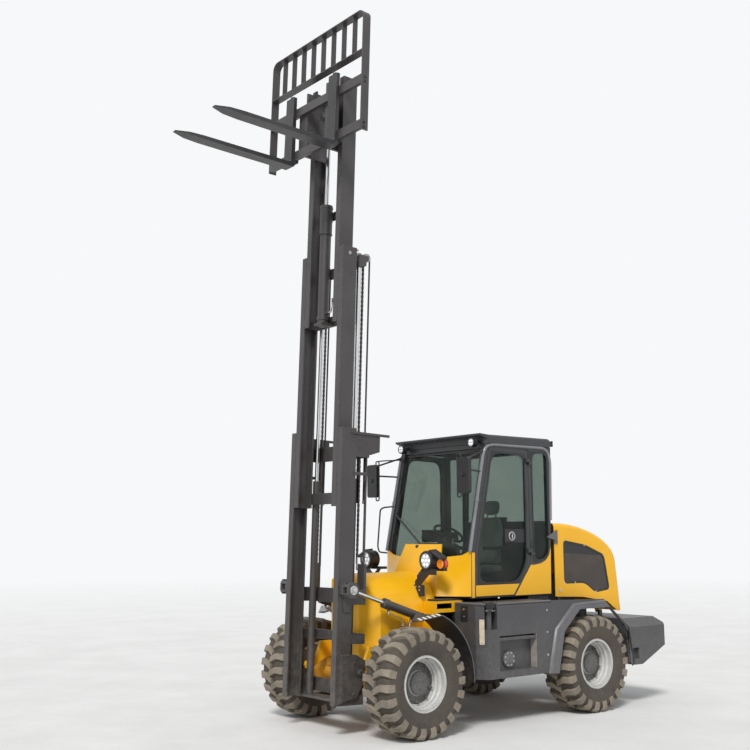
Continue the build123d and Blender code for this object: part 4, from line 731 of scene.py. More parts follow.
def free_lift_trim():
    """Collars, base fitting and elbow of the free lift cylinder."""
    def spot(x, y, z):
        return mast(FREE_X + x, FREE_Y + y, z)

    bm = bmesh.new()
    for z0, z1, r in ((4.316, 4.36, 0.069), (4.36, 4.372, 0.064), (5.292, 5.302, 0.074),
                      (5.44, 5.452, 0.0735), (5.594, 5.616, 0.0745)):
        turned(bm, box_outline(0.06, r, 0.0, z1 - z0), spot(0, 0, z0), 40, UP)
    pin(bm, spot, 0, 0.055, 0.095, FREE_UNION_Z, 0.022, 8)
    pin(bm, spot, 0, 0.095, 0.108, FREE_UNION_Z, 0.017, 16)
    piece(bm, "free_lift_collars", "mast_paint", "mast_inner_stage", bevel=0.0015)
    bm = bmesh.new()
    elbow = [spot(0, 0.1, FREE_UNION_Z), spot(0, 0.15, FREE_UNION_Z), spot(-0.01, 0.152, 4.52)]
    pipe(bm, elbow, 0.011, 0.045)
    post(bm, spot, -0.01, 0.152, 4.5, 4.545, 0.0155, 6)
    piece(bm, "free_lift_elbow", "pipe_steel", "mast_inner_stage")


FORK_Y = 0.41


def carriage_trim():
    """Fork hooks, latch pins, and bolts of the carriage and the backrest."""
    bm = bmesh.new()
    for s in (1, -1):
        for low, high, lip in ((6.18, 6.196, 6.196), (6.794, 6.812, 6.776)):
            y0, y1 = s * FORK_Y - 0.06, s * FORK_Y + 0.06
            block(bm, (0.796, y0, low), (0.845, y1, high), mast)
            block(bm, (0.782, y0, min(low, lip) - 0.012), (0.799, y1, max(high, lip) + 0.012), mast)
        post(bm, mast, 0.868, s * FORK_Y, 6.936, 6.962, 0.012, 14)
        pin(bm, mast, 0.868, s * FORK_Y - 0.022, s * FORK_Y + 0.03, 6.957, 0.006, 10)
    piece(bm, "fork_hooks", "fork_paint", "fork_carriage", bevel=0.003)
    bm = bmesh.new()
    for s in (1, -1):
        for z in (6.215, 6.262, 6.725, 6.772):
            for y1, r, sides in ((0.885, 0.0125, 6), (0.879, 0.0175, 16)):
                pin(bm, mast, 0.8, s * 0.8768, s * y1, z, r, sides)
        for z in (6.46, 6.88):
            pin(bm, mast, 0.5575, s * 0.17, s * 0.16, z, 0.03)
    piece(bm, "backrest_bolts", "black_plastic", "fork_carriage", bevel=0.001)


# Tilt cylinders: from the anchor on the front frame to the pin on the mast
TILT_A, TILT_B, TILT_Y = Vector((-0.4, 1.135)), Vector((0.53, 1.445)), 0.555
TILT_DIR = (TILT_B - TILT_A).normalized()


def tilt_trim(hand, s, place):
    """Gland nut, unions, hard lines and anchor washer of one tilt cylinder."""
    def spot(d, low=0.0, out=0.0):
        p = TILT_A + TILT_DIR * d + Vector((TILT_DIR.y, -TILT_DIR.x)) * low
        return place(p.x, TILT_Y + out, p.y)

    barrel = "tilt_cylinder_" + hand
    bm = bmesh.new()
    for d0, d1, r in ((0.515, 0.534, 0.047), (0.47, 0.476, 0.0535), (0.04, 0.052, 0.048)):
        rod(bm, spot(d0), spot(d1), r, 36)
    for d in (0.44, 0.12):
        rod(bm, spot(d, 0.04), spot(d, 0.062), 0.015, 18)
    piece(bm, "tilt_collars_" + hand, "mast_paint", barrel, bevel=0.0015)
    bm = bmesh.new()
    for d in (0.44, 0.12):
        rod(bm, spot(d, 0.06), spot(d, 0.092), 0.0115, 6)
    pipe(bm, [spot(0.44, 0.075), spot(0.34, 0.082), spot(0.235, 0.08), spot(0.215, 0.135)], 0.0055)
    pipe(bm, [spot(0.12, 0.088), spot(0.12, 0.14)], 0.007)
    rod(bm, spot(0.215, 0.125), spot(0.212, 0.15), 0.0095, 6)
    piece(bm, "tilt_lines_" + hand, "pipe_steel", barrel)
    bm = bmesh.new()
    rod(bm, spot(0.0, out=0.044), spot(0.0, out=0.053), 0.029)
    rod(bm, spot(0.0, out=0.053), spot(0.0, out=0.06), 0.014, 6)
    piece(bm, "tilt_anchor_washer_" + hand, "bolt_steel", bevel=0.001)


mast_chains()
mast_hoses()
for side in MAST_PLACES:
    mast_bolts(*side)
free_lift_trim()
carriage_trim()
for side in PLACES:
    tilt_trim(*side)


# Front frame and lamps
FORWARD = (1, 0, 0)
LAMP = (-0.516, 0.52, 1.72)
TURN_LAMP = (-0.6, 0.66, 1.685)
WORK_LAMP = (-1.13, 0.61, 3.018)
REAR_LAMP_BACK, REAR_LAMP_GLASS = -2.408, -2.4035
BOX_POCKETS = ((-0.81, -0.595, 1.21, 1.265), (-0.855, -0.585, 1.035, 1.17))


def front_lamps():
    """Headlamps with seven diodes, indicators, their bar and bracket bolts."""
    bezel, white, diodes, amber, red, pale = [bmesh.new() for _ in range(6)]
    face, y, z = LAMP
    for place in BOTH:
        lamp, turn_lamp = place(*LAMP), place(*TURN_LAMP)
        rim = [(0.078, 0.0), (0.103, 0.0), (0.1, 0.01), (0.086, 0.013), (0.078, 0.008)]
        turned(bezel, rim, lamp, 48, FORWARD)
        disc(white, place, *LAMP, 0.079, 0.003, 48)
        for dy, dz in [(0.0, 0.0)] + circle(6, 0.048):
            spot = (face + 0.003, y + dy, z + dz)
            disc(diodes, place, *spot, 0.0205, 0.006, 20, 0.012)
            turned(white, [(0.02, 0.0), (0.0235, 0.0), (0.022, 0.004)], place(*spot), 20, FORWARD)
        disc(amber, place, *TURN_LAMP, 0.055, 0.014, 36, 0.044)
        for bm, profile in ((amber, [(0.02, 0.014), (0.034, 0.014), (0.032, 0.017)]),
                            (red, [(0.0585, -0.052), (0.0605, -0.048), (0.0605, -0.018), (0.0585, -0.014)]),
                            (bezel, [(0.052, -0.002), (0.0605, -0.012), (0.06, 0.004), (0.054, 0.008)])):
            turned(bm, profile, turn_lamp, 36, FORWARD)
        bar = ((-0.64, 0.0), (-0.53, -0.006), (-0.53, 0.012), (-0.64, 0.02))
        quad_ring(bezel, [[place(x, end_y, end_z + dz) for x, dz in bar]
                          for end_y, end_z in ((0.548, 1.822), (0.724, 1.738))])
        plate(bezel, [(-0.62, 1.65), (-0.62, 1.665), (-0.56, 1.665), (-0.56, 1.65)], 0.56, 0.62, place)
        plate(bezel, [(0.33, 1.34), (0.42, 1.34), (0.42, 1.455), (0.56, 1.57), (0.68, 1.57), (0.68, 1.632),
                      (0.48, 1.632), (0.33, 1.5)], -0.5265, -0.5205, facing(place))
        for bolt in ((0.345, 1.44), (0.405, 1.44), (0.345, 1.405), (0.405, 1.405), (0.376, 1.362)):
            hex_bolt(pale, place(-0.52, *bolt), FORWARD, 0.0085, 0.006)
    piece(bezel, "lamp_bezels", "black_plastic", bevel=0.002)
    piece(white, "headlamp_faces", "white_lens")
    piece(diodes, "headlamp_diodes", "diode_lens")
    piece(amber, "indicator_lenses", "amber_lens", bevel=0.002)
    piece(red, "indicator_side_lenses", "red_lens")
    piece(pale, "lamp_bracket_bolts", "pipe_steel")


def work_lamps():
    """Round work lamps under the roof's front, with cooling ribs, and flat ones at its back."""
    bezel, white, diodes = [bmesh.new() for _ in range(3)]
    face, y, z = WORK_LAMP
    for place in BOTH:
        lamp = place(*WORK_LAMP)
        turned(bezel, [(0.042, 0.0), (0.0515, 0.0), (0.05, 0.006), (0.044, 0.006)], lamp, 32, FORWARD)
        disc(white, place, *WORK_LAMP, 0.043, 0.003, 32)
        for dy, dz in box_outline(-0.016, 0.016, -0.016, 0.016):
            disc(diodes, place, face + 0.003, y + dy, z + dz, 0.0125, 0.004, 16, 0.008)
        for k in range(5):
            turned(bezel, box_outline(0.049, 0.0535, 0.0, 0.004), place(-1.186 + k * 0.01, y, z), 32, FORWARD)
        ring_plate(bezel, box_outline(0.555, 0.685, 3.026, 3.094), box_outline(0.566, 0.674, 3.037, 3.083),
                   REAR_LAMP_BACK, -2.399, facing(place))
        block(white, (REAR_LAMP_GLASS, 0.566, 3.037), (-2.3995, 0.674, 3.083), place)
        for rear_y in (0.595, 0.645):
            disc(diodes, place, REAR_LAMP_GLASS, rear_y, 3.06, 0.018, -0.004, 16, 0.012)
    piece(bezel, "work_lamp_bezels", "black_plastic", bevel=0.001)
    piece(white, "work_lamp_faces", "white_lens")
    piece(diodes, "work_lamp_diodes", "diode_lens")


def front_trim():
    """Dark linings and bolts of the side boxes; black strips under the cab, partly rubber mounts and partly
    painted shadow in the gap under its panels; and a dark wall under the cab that is painted shade.
    """
    dark, strip_and_shadow, steel = [bmesh.new() for _ in range(3)]
    rim = 0.002
    for place in BOTH:
        for x0, x1, z0, z1 in BOX_POCKETS:
            block(dark, (x0, 0.5405, z0), (x1, 0.543, z1), place)
            for a0, a1, c0, c1 in ((x0, x1, z0, z0 + rim), (x0, x1, z1 - rim, z1), (x0, x0 + rim, z0, z1),
                                   (x1 - rim, x1, z0, z1)):
                block(dark, (a0, 0.543, c0), (a1, 0.5985, c1), place)
        # Black strips at the cab's foot: partly rubber mounts, partly painted shadow in the gap under the
        # cab's panels.
        block(strip_and_shadow, (-0.965, 0.44, 1.2905), (-0.6, 0.598, 1.3085), place)
        block(strip_and_shadow, (-2.24, 0.56, 1.25), (-1.9, 0.7, 1.308), place)
        for x in (-0.905, -0.64):
            pin(steel, place, x, 0.5985, 0.6045, 0.985, 0.012, 6)
    # Dark wall in the middle under the cab: painted shade seen through the gap.
    block(strip_and_shadow, (-2.1, -0.02, 1.15), (-1.0, 0.02, 1.3075))
    piece(dark, "box_linings", "black_plastic")
    piece(strip_and_shadow, "cab_mount_strips_and_painted_shadow", "hose_rubber", bevel=0.002)
    piece(steel, "side_box_bolts", "bolt_steel")


# Tanks
TANK_CAP = (-0.965, 0.995)
TANK_FLANGE = (-1.28, 0.98, 0.675)
TANK_FRONT = -0.8295
CHAMFER = Vector((-0.875, 0.99))
CHAMFER_OUT = Vector((0.12, 0.07)).normalized()
CHAMFER_ALONG = Vector((-CHAMFER_OUT.y, CHAMFER_OUT.x))
RIM_Y, RIM_Z = 1.0415, 1.2655


def tank_trim(hand, s, place):
    """Reflector, hinge plate, cap, flange and panel bolts, step ribs and rim of one tank."""
    def on_chamfer(u, v, z):
        p = CHAMFER + CHAMFER_ALONG * u + CHAMFER_OUT * v
        return place(p.x, p.y, z)

    outward, upward = (0, s, 0), Vector((0, 0, 1))
    cap = place(*TANK_CAP, 0)
    flange = place(*TANK_FLANGE)

    def on_cap(radius, z, count, start=0.0):
        return [cap + Vector((u, v, z)) for u, v in circle(count, radius, start)]

    bm = bmesh.new()
    plate(bm, rounded(box_outline(-0.028, 0.028, 0.85, 1.11), 0.012), 0.0005, 0.0085, on_chamfer)
    piece(bm, "tank_reflector_" + hand, "pale_reflector", bevel=0.0015)
    bm = bmesh.new()
    for z in (0.866, 1.094):
        rod(bm, on_chamfer(0, 0.008, z), on_chamfer(0, 0.011, z), 0.006, 12)
    bolts(bm, on_cap(0.064, 1.196, 6, 0.5), upward, 0.0075)
    for u, v in circle(8, 0.068, 0.5):
        bolts(bm, [flange + Vector((u, s * 0.0055, v))], outward, 0.008, 0.007)
    bolts(bm, [place(-1.815, 1.0505, z) for z in (0.69, 0.932, 1.168)], outward, 0.0095, 0.007)
    bolts(bm, [place(TANK_FRONT, 0.765, z) for z in (1.128, 1.206)], FORWARD, 0.011)
    piece(bm, "tank_bolts_" + hand, "pipe_steel")
    bm = bmesh.new()
    block(bm, (-0.84, 0.715, 1.085), (-0.83, 0.815, 1.245), place)
    turned(bm, box_outline(0.0, 0.075, 0.0, 0.005), cap + upward * 1.19, 40, upward)
    turned(bm, [(0.0, 0.0), (0.062, 0.0), (0.066, 0.012), (0.066, 0.062), (0.058, 0.07), (0.0, 0.072)],
           cap + upward * 1.2215, 40, upward)
    for spot in on_cap(0.0655, 1.24, 12):
        rod(bm, spot, spot + upward * 0.04, 0.004, 6)
    piece(bm, "tank_cap_" + hand, "black_plastic", bevel=0.0015)
    bm = bmesh.new()
    for k in range(7):
        y = 0.968 + k * 0.011
        block(bm, (-1.63, y, 0.9045), (-1.085, y + 0.005, 0.9085), place)
    for x0, x1 in ((-1.642, -1.638), (-1.077, -1.073)):
        block(bm, (x0, 0.9605, 0.566), (x1, 1.0495, 0.929), place)
    piece(bm, "step_ribs_" + hand, "weld_dust", bevel=0.001)
    bm = bmesh.new()
    pipe(bm, [place(-1.88, RIM_Y, RIM_Z), place(-1.048, RIM_Y, RIM_Z)], 0.012)
    front = ((-0.888, 1.033), (-0.852, 0.96), (-0.8455, 0.905), (-0.8455, 0.64))
    pipe(bm, [place(x, y, RIM_Z) for x, y in front], 0.012, 0.05)
    turned(bm, [(0.0, 0.0), (0.083, 0.0), (0.083, 0.004), (0.08, 0.006), (0.04, 0.006), (0.038, 0.009),
                (0.0, 0.01)], flange, 40, outward)
    piece(bm, "tank_rim_" + hand, "tank_grey")


# Fenders
FENDER_R = 0.7
FENDER_FROM, FENDER_TURN, FENDER_STEPS = 112, 72, 26
ARCH_OUT = ((-1.818, 0.491), (-1.937, 0.959), (-2.243, 1.222), (-2.768, 1.244), (-3.012, 1.066),
            (-3.168, 0.926), (-3.268, 0.459))
ARCH_IN = ((-1.962, 0.479), (-2.068, 0.924), (-2.338, 1.155), (-2.866, 1.156), (-3.112, 0.955), (-3.19, 0.86),
           (-3.215, 0.505))
FLARE = (  # share of the way from the outer to the inner outline, distance from the middle
    (0.0, 1.048), (0.02, 1.056), (0.16, 1.076), (0.3, 1.0795), (0.42, 1.0795), (0.46, 1.0755), (0.54, 1.0755),
    (0.58, 1.0795), (0.8, 1.0795), (0.86, 1.0755), (0.93, 1.0795), (1.0, 1.0795), (1.0, 1.04), (0.96, 1.04),
    (0.96, 1.07), (0.16, 1.066))
FLAP = [Vector(p) for p in ((-0.262, 1.048, 1.186), (-0.095, 0.87, 1.125), (-0.095, 0.77, 1.125),
                            (-0.262, 0.64, 1.186))]


def on_fender(angle, radius=FENDER_R):
    """X, Z point round the front wheel, at an angle from straight ahead."""
    a = radians(angle)
    return radius * cos(a), TYRE_R + radius * sin(a)


def fenders():
    """Side panels, folded arch flares, mudguards, and the front fenders with their stripes."""
    paint, flare, dark, lip, white = [bmesh.new() for _ in range(5)]
    angles = [FENDER_FROM + FENDER_TURN * k / FENDER_STEPS for k in range(FENDER_STEPS + 1)]
    outside = [on_fender(a) for a in angles]
    sheet = outside + [on_fender(a, FENDER_R - 0.008) for a in angles][::-1]
    for place in BOTH:
        plate(paint, [(-1.885, 0.505), (-1.885, 1.27), (-2.805, 1.25), (-2.805, 1.2), (-2.3, 1.19),
                      (-2.0, 0.94), (-1.9, 0.505)], 1.037, 1.051, place)
        rings = []
        for outer, inner in zip(ARCH_OUT, ARCH_IN):
            spots = [(Vector(outer).lerp(Vector(inner), t), y) for t, y in FLARE]
            rings.append([place(p.x, y, p.y) for p, y in spots])
        quad_ring(flare, rings)
        block(dark, (-2.866, 0.41, 1.163), (-2.338, 1.05, 1.181), place)
        block(dark, (-2.42, 0.685, 1.18), (-2.38, 0.715, 1.276), place)
        block(paint, (-2.25, 0.39, 0.73), (-2.17, 0.412, 1.181), place)
        plate(dark, [(-2.18, 0.98), (-2.34, 1.163), (-3.24, 1.163), (-3.24, 1.02), (-3.1, 0.98)],
              0.392, 0.41, place)
        plate(dark, sheet, 0.62, 1.05, place)
        block(dark, (-0.715, 0.5985, 0.79), (-0.695, 0.63, 1.02), place)
        tube(lip, [place(x * 1.001, 1.046, z) for x, z in outside], 0.0055, 8)
        quad_ring(dark, [[place(p.x, p.y, p.z - drop) for p in FLAP] for drop in (0.0, 0.006)])
        for k in range(5):
            edge = [FLAP[0].lerp(FLAP[1], (k + t) / 5.2) for t in (0.15, 0.7, 1.05, 0.5)]
            stripe = edge[:2] + [p + Vector((-0.045, -0.085, 0.016)) for p in edge[2:]]
            quad_ring(white, [[place(p.x, p.y, p.z + up) for p in stripe] for up in (0.0006, 0.002)])
        for a in (118, 136, 154, 172):
            x, z = on_fender(a)
            hex_bolt(lip, place(x, 0.66, z), Vector((x, 0, z - TYRE_R)), 0.009, 0.006)
    piece(paint, "side_panels", "charcoal_paint", replaces=["fenders"], bevel=0.002)
    # The flares take the lighter tank grey, which paints the light on their upward-facing surfaces.
    piece(flare, "arch_flares", "tank_grey", replaces=["fenders"], bevel=0.001)
    piece(dark, "mudguards", "black_plastic", replaces=["fenders"], bevel=0.001)
    piece(lip, "fender_lips", "tank_grey")
    piece(white, "fender_stripes", "white_mark")


# Hood
HOOD_HALF_W, HOOD_SHOULDER = 0.715, 0.05
HOOD_TOP = ((-2.345, 2.125), (-2.52, 2.122), (-2.66, 2.108), (-2.82, 2.08), (-2.98, 2.04), (-3.12, 1.992),
            (-3.25, 1.93), (-3.34, 1.872), (-3.41, 1.808), (-3.452, 1.74), (-3.474, 1.66), (-3.494, 1.5),
            (-3.52, 1.28), (-3.545, 1.07))
HOOD_HEM = ((-3.46, 1.07), (-3.26, 1.195), (-2.82, 1.26), (-2.345, 1.28))
WINDOW = ((-2.5, 1.42), (-2.5, 1.93), (-2.9, 1.87), (-3.24, 1.75), (-3.33, 1.33), (-3.06, 1.3),
          (-2.86, 1.42))
GRILLE_HALF_W = 0.4
LAMP_LAYERS = ((-0.002, 0.56, 0.66), (0.01, 0.56, 0.66), (0.015, 0.564, 0.656))  # distance out, two Y values


def hood_skin():
    """Hood with a smooth back, rounded shoulders and an open window in each side."""
    bm = bmesh.new()
    top = [Vector(p) for p in HOOD_TOP]
    sections = []
    for i, p in enumerate(top):
        ahead = (top[min(i + 1, len(top) - 1)] - top[max(i - 1, 0)]).normalized()
        inward = Vector((-ahead.y, ahead.x))
        if i == 0:
            inward = Vector((0, -1))
        if i == len(top) - 1:
            inward = Vector((1, 0))
        half = []
        for k in range(7):
            a = pi / 2 * k / 6
            drop = HOOD_SHOULDER * (1 - sin(a))
            half.append((p + inward * drop, HOOD_HALF_W - HOOD_SHOULDER * (1 - cos(a))))
        ring = [at(q.x, y, q.y) for q, y in half] + [at(q.x, -y, q.y) for q, y in reversed(half)]
        sections.append([bm.verts.new(v) for v in ring])
    for a, b in zip(sections, sections[1:]):
        for i in range(len(a) - 1):
            bm.faces.new((a[i], b[i], b[i + 1], a[i + 1]))
    for side in (1, -1):
        border = [section[0 if side > 0 else -1] for section in sections]
        border += [bm.verts.new(at(x, side * HOOD_HALF_W, z)) for x, z in HOOD_HEM]
        hole = [bm.verts.new(at(x, side * HOOD_HALF_W, z)) for x, z in rounded(WINDOW, 0.06)]
        edges = []
        for ring in (border, hole):
            for a, b in zip(ring, ring[1:] + ring[:1]):
                edges.append(bm.edges.get((a, b)) or bm.edges.new((a, b)))
        bmesh.ops.triangle_fill(bm, use_beauty=True, edges=edges)
    piece(bm, "hood_skin", "yellow_paint", "hood", ["hood"], sharp=60.0, wall=0.007,
          weighted=True)


def rear_x(z):
    """Where the hood's back stands at a height."""
    points = sorted((z, x) for x, z in HOOD_TOP)
    for (z0, x0), (z1, x1) in zip(points, points[1:]):
        if z0 <= z <= z1:
            return x0 + (x1 - x0) * (z - z0) / (z1 - z0)


def hood_trim():
    """Mesh sheets with frames and bolts, a dark sheet over each mesh's upper part that is painted shade from
    inside the hood, hinge eyes, rear grille, tail lamps and latches.
    """
    mesh, dark, steel, red, amber, eye = [bmesh.new() for _ in range(6)]
    for _, s, place in PLACES:
        plate(mesh, inset(WINDOW, -0.012), 0.7045, 0.7065, place)
        ring_plate(dark, rounded(inset(WINDOW, 0.002), 0.06), rounded(inset(WINDOW, 0.024), 0.05),
                   0.7065, 0.7115, place)
        # Dark sheet over the upper part of the mesh window: painted shade of the hood's inside.
        plate(dark, [(-2.512, 1.78), (-2.512, 1.922), (-2.9, 1.862), (-3.2, 1.765), (-3.235, 1.74)],
              0.7066, 0.7082, place)
        for x, z in ((-2.513, 1.917), (-2.513, 1.432), (-2.7, 1.432), (-2.88, 1.862), (-3.232, 1.738),
                     (-3.316, 1.344), (-3.07, 1.316)):
            hex_bolt(steel, place(x, 0.711, z), (0, s, 0), 0.0085, 0.006)
        turned(eye, box_outline(0.0125, 0.024, -0.02, 0.02), place(-3.56, 0.315, 1.05), 28)
        block(eye, (-3.55, 0.297, 1.06), (-3.53, 0.333, 1.11), place)
        for low, high, bm in ((1.33, 1.44, red), (1.27, 1.326, amber)):
            quad_ring(bm, [[place(rear_x(z) - out, y, z) for y, z in box_outline(y0, y1, low, high)]
                           for out, y0, y1 in LAMP_LAYERS])
        pin(steel, place, -2.42, 0.715, 0.721, 1.35, 0.02, 20)
        block(steel, (-2.426, 0.72, 1.338), (-2.414, 0.726, 1.362), place)
    for k in range(13):
        z = 1.2 + k * 0.034
        x = rear_x(z)
        slat = ((x - 0.012, z - 0.006), (x + 0.002, z + 0.01), (x + 0.002, z + 0.014), (x - 0.014, z - 0.002))
        plate(dark, slat, -GRILLE_HALF_W, GRILLE_HALF_W)
    for y in (-GRILLE_HALF_W - 0.005, GRILLE_HALF_W - 0.005):
        quad_ring(dark, [[at(rear_x(z) + x, y1, z) for x, y1 in box_outline(-0.016, 0.002, y, y + 0.01)]
                         for z in (1.18, 1.635)])
    for z in (1.18, 1.628):
        block(dark, (rear_x(z) - 0.016, -0.405, z), (rear_x(z) + 0.002, 0.405, z + 0.01))
    piece(mesh, "hood_mesh_sheets", "mesh_metal", "hood", ["hood_mesh"])
    piece(dark, "hood_frames_and_painted_shade", "black_plastic", "hood", bevel=0.0008)
    piece(steel, "hood_bolts", "pipe_steel", "hood")
    piece(red, "tail_lamps", "red_lens", "hood", bevel=0.001)
    piece(amber, "rear_indicators", "amber_lens", "hood", bevel=0.001)
    piece(eye, "hood_hinge_eyes", "yellow_paint", "hood", ["hood"])


front_lamps()
work_lamps()
front_trim()
for side in PLACES:
    tank_trim(*side)
fenders()
hood_skin()
hood_trim()


# Cab
DOOR_WINDOW = ((-1.73, 1.46), (-1.877, 1.682), (-1.877, 2.905), (-1.337, 2.92), (-1.108, 1.8), (-1.098, 1.46))
QUARTER_WINDOW = ((-2.254, 1.74), (-2.258, 2.95), (-1.987, 2.952), (-1.987, 1.67))
CAB_Y = 0.72
PANEL_Y = (CAB_Y, CAB_Y + 0.003)
SEAL_Y = (CAB_Y - 0.001, CAB_Y + 0.0025)
TUBE_Y, TUBE_TOP = 0.716, 2.998
LOCK_X, LOCK_Z = -1.647, 1.977


def cab_panels(hand, s, place):
    """Yellow lower panels, seals, lock, bent tube and rear bracket on one side of the cab; the tube's light
    grey is partly a painted highlight along the cab frame's edge.
    """
    door = "door_" + hand
    bm = bmesh.new()
    plate(bm, [(-0.9985, 1.316), (-1.043, 1.316), (-1.052, 1.8), (-1.008, 1.8)], *PANEL_Y, place)
    plate(bm, [(-1.67, 1.318), (-1.937, 1.652), (-1.98, 1.648), (-2.1, 1.664), (-2.19, 1.7),
               (-2.245, 1.762), (-2.276, 1.85), (-2.262, 1.318)], *PANEL_Y, place)
    piece(bm, "cab_panels_" + hand, "yellow_paint", bevel=0.001)
    bm = bmesh.new()
    plate(bm, [(-1.058, 1.328), (-1.644, 1.328), (-1.74, 1.446), (-1.06, 1.446)], *PANEL_Y, place)
    piece(bm, "door_panel_" + hand, "yellow_paint", door, bevel=0.001)
    bm = bmesh.new()
    ring_plate(bm, rounded(inset(DOOR_WINDOW, -0.007), 0.03), rounded(inset(DOOR_WINDOW, 0.016), 0.13),
               *SEAL_Y, place)
    block(bm, (-1.88, 0.7025, 1.905), (-1.535, 0.7085, 2.055), place)
    pin(bm, place, LOCK_X, 0.708, 0.715, LOCK_Z, 0.036, 32)
    block(bm, (-1.86, 0.7205, 2.25), (-1.886, 0.729, 2.42), place)
    piece(bm, "door_seals_" + hand, "black_plastic", door, bevel=0.0008)
    bm = bmesh.new()
    turned(bm, [(0.037, 0.0), (0.052, 0.0), (0.05, 0.006), (0.04, 0.008)], place(LOCK_X, 0.7085, LOCK_Z),
           40, (0, s, 0))
    block(bm, (-1.656, 0.7145, 1.95), (-1.638, 0.722, 2.004), place)
    piece(bm, "door_lock_" + hand, "pipe_steel", door, bevel=0.001)
    bm = bmesh.new()
    ring_plate(bm, rounded(inset(QUARTER_WINDOW, -0.006), 0.03),
               rounded(inset(QUARTER_WINDOW, 0.014), 0.11), *SEAL_Y, place)
    for z in (1.8, 2.83):
        block(bm, (-1.973, SEAL_Y[0], z), (-1.94, PANEL_Y[1], z + 0.13), place)
    piece(bm, "quarter_seals_" + hand, "black_plastic", bevel=0.0008)
    bm = bmesh.new()
    # Light grey tube along the pillar and under the roof: partly a grey rail, partly a painted highlight on
    # the cab frame's edge.
    pipe(bm, [place(-0.985, TUBE_Y, 1.81), place(-1.222, TUBE_Y, 2.93), place(-1.3, CAB_Y, TUBE_TOP),
              place(-2.23, CAB_Y, TUBE_TOP), place(-2.312, TUBE_Y, 2.88), place(-2.292, TUBE_Y, 2.16)],
         0.018, 0.1)
    rod(bm, place(-1.1, TUBE_Y, 2.352), place(-1.108, TUBE_Y, 2.392), 0.0225, 20)
    piece(bm, "cab_tube_" + hand, "pillar_grey_painted_highlight")
    bm = bmesh.new()
    plate(bm, [(-2.205, 1.962), (-2.39, 2.048), (-2.39, 1.905), (-2.33, 1.93)], 0.7205, 0.733, place)
    block(bm, (-2.392, 0.7205, 1.885), (-2.33, 0.73, 1.915), place)
    piece(bm, "rear_bracket_" + hand, "tank_grey", bevel=0.002)


SCREEN_FOOT, SCREEN_TOP = Vector((-1.025, 1.8)), Vector((-1.271, 2.959))
MIRROR_X, MIRROR_Y0, MIRROR_Y1 = -0.845, 0.682, 0.74


def on_screen(y, z, out=0.0):
    """Point in front of the slanted windscreen."""
    t = (z - SCREEN_FOOT.y) / (SCREEN_TOP.y - SCREEN_FOOT.y)
    return at(SCREEN_FOOT.x + (SCREEN_TOP.x - SCREEN_FOOT.x) * t + out, y, z)


def cab_front():
    """Windscreen seal, wiper and grab handle."""
    bm = bmesh.new()
    for y0, y1, z0, z1 in ((-0.655, -0.635, 1.8, 2.93), (0.635, 0.655, 1.8, 2.93),
                           (-0.655, 0.655, 2.925, 2.95)):
        quad_ring(bm, [[on_screen(y, z, out) for y, out in box_outline(y0, y1, 0.001, 0.007)]
                       for z in (z0, z1)])
    tube(bm, [at(-0.93, -0.09, 1.862), at(-0.96, -0.1, 1.905), on_screen(-0.64, 2.23, 0.04)], 0.013, 10)
    rod(bm, at(-0.95, -0.09, 1.84), at(-0.918, -0.09, 1.875), 0.022, 20)
    rod(bm, on_screen(-0.64, 2.205, 0.04), on_screen(-0.64, 2.255, 0.04), 0.013, 12)
    tube(bm, [on_screen(-0.652, 2.0, 0.022), on_screen(-0.648, 2.23, 0.026), on_screen(-0.64, 2.48, 0.022)],
         0.013, 8)
    tube(bm, [on_screen(-0.652, 1.99, 0.012), on_screen(-0.64, 2.49, 0.012)], 0.0055, 6)
    piece(bm, "wiper_and_seal", "black_plastic")
    bm = bmesh.new()
    pipe(bm, [at(-1.085, -0.7, 2.335), at(-1.02, -0.815, 2.325), at(-0.985, -0.835, 2.3),
              at(-0.945, -0.838, 1.86), at(-0.935, -0.8, 1.795), at(-0.965, -0.69, 1.785)], 0.0095)
    piece(bm, "grab_handle", "black_plastic")


def mirror(hand, s, place):
    """Mirror glass, loop, arm and knob of one side."""
    bm = bmesh.new()
    plate(bm, rounded(box_outline(0.706, 0.874, 2.446, 2.824), 0.03), -0.8735, -0.8705, facing(place))
    piece(bm, "mirror_glass_" + hand, "mirror_glass")
    bm = bmesh.new()
    loop = ((MIRROR_Y1, 2.832), (MIRROR_Y1, 2.868), (MIRROR_Y0, 2.868), (MIRROR_Y0, 2.4),
            (MIRROR_Y1, 2.4), (MIRROR_Y1, 2.438))
    pipe(bm, [place(MIRROR_X, y, z) for y, z in loop], 0.0075)
    arm = [place(MIRROR_X, 0.684, 2.868), place(-0.93, 0.69, 2.878), place(-1.215, 0.706, 2.9)]
    pipe(bm, arm, 0.0075)
    knob = place(-0.819, 0.79, 2.64)
    turned(bm, [(0.0, 0.0), (0.024, 0.0), (0.02, 0.012), (0.0, 0.014)], knob, 20, FORWARD)
    piece(bm, "mirror_loop_" + hand, "black_plastic")


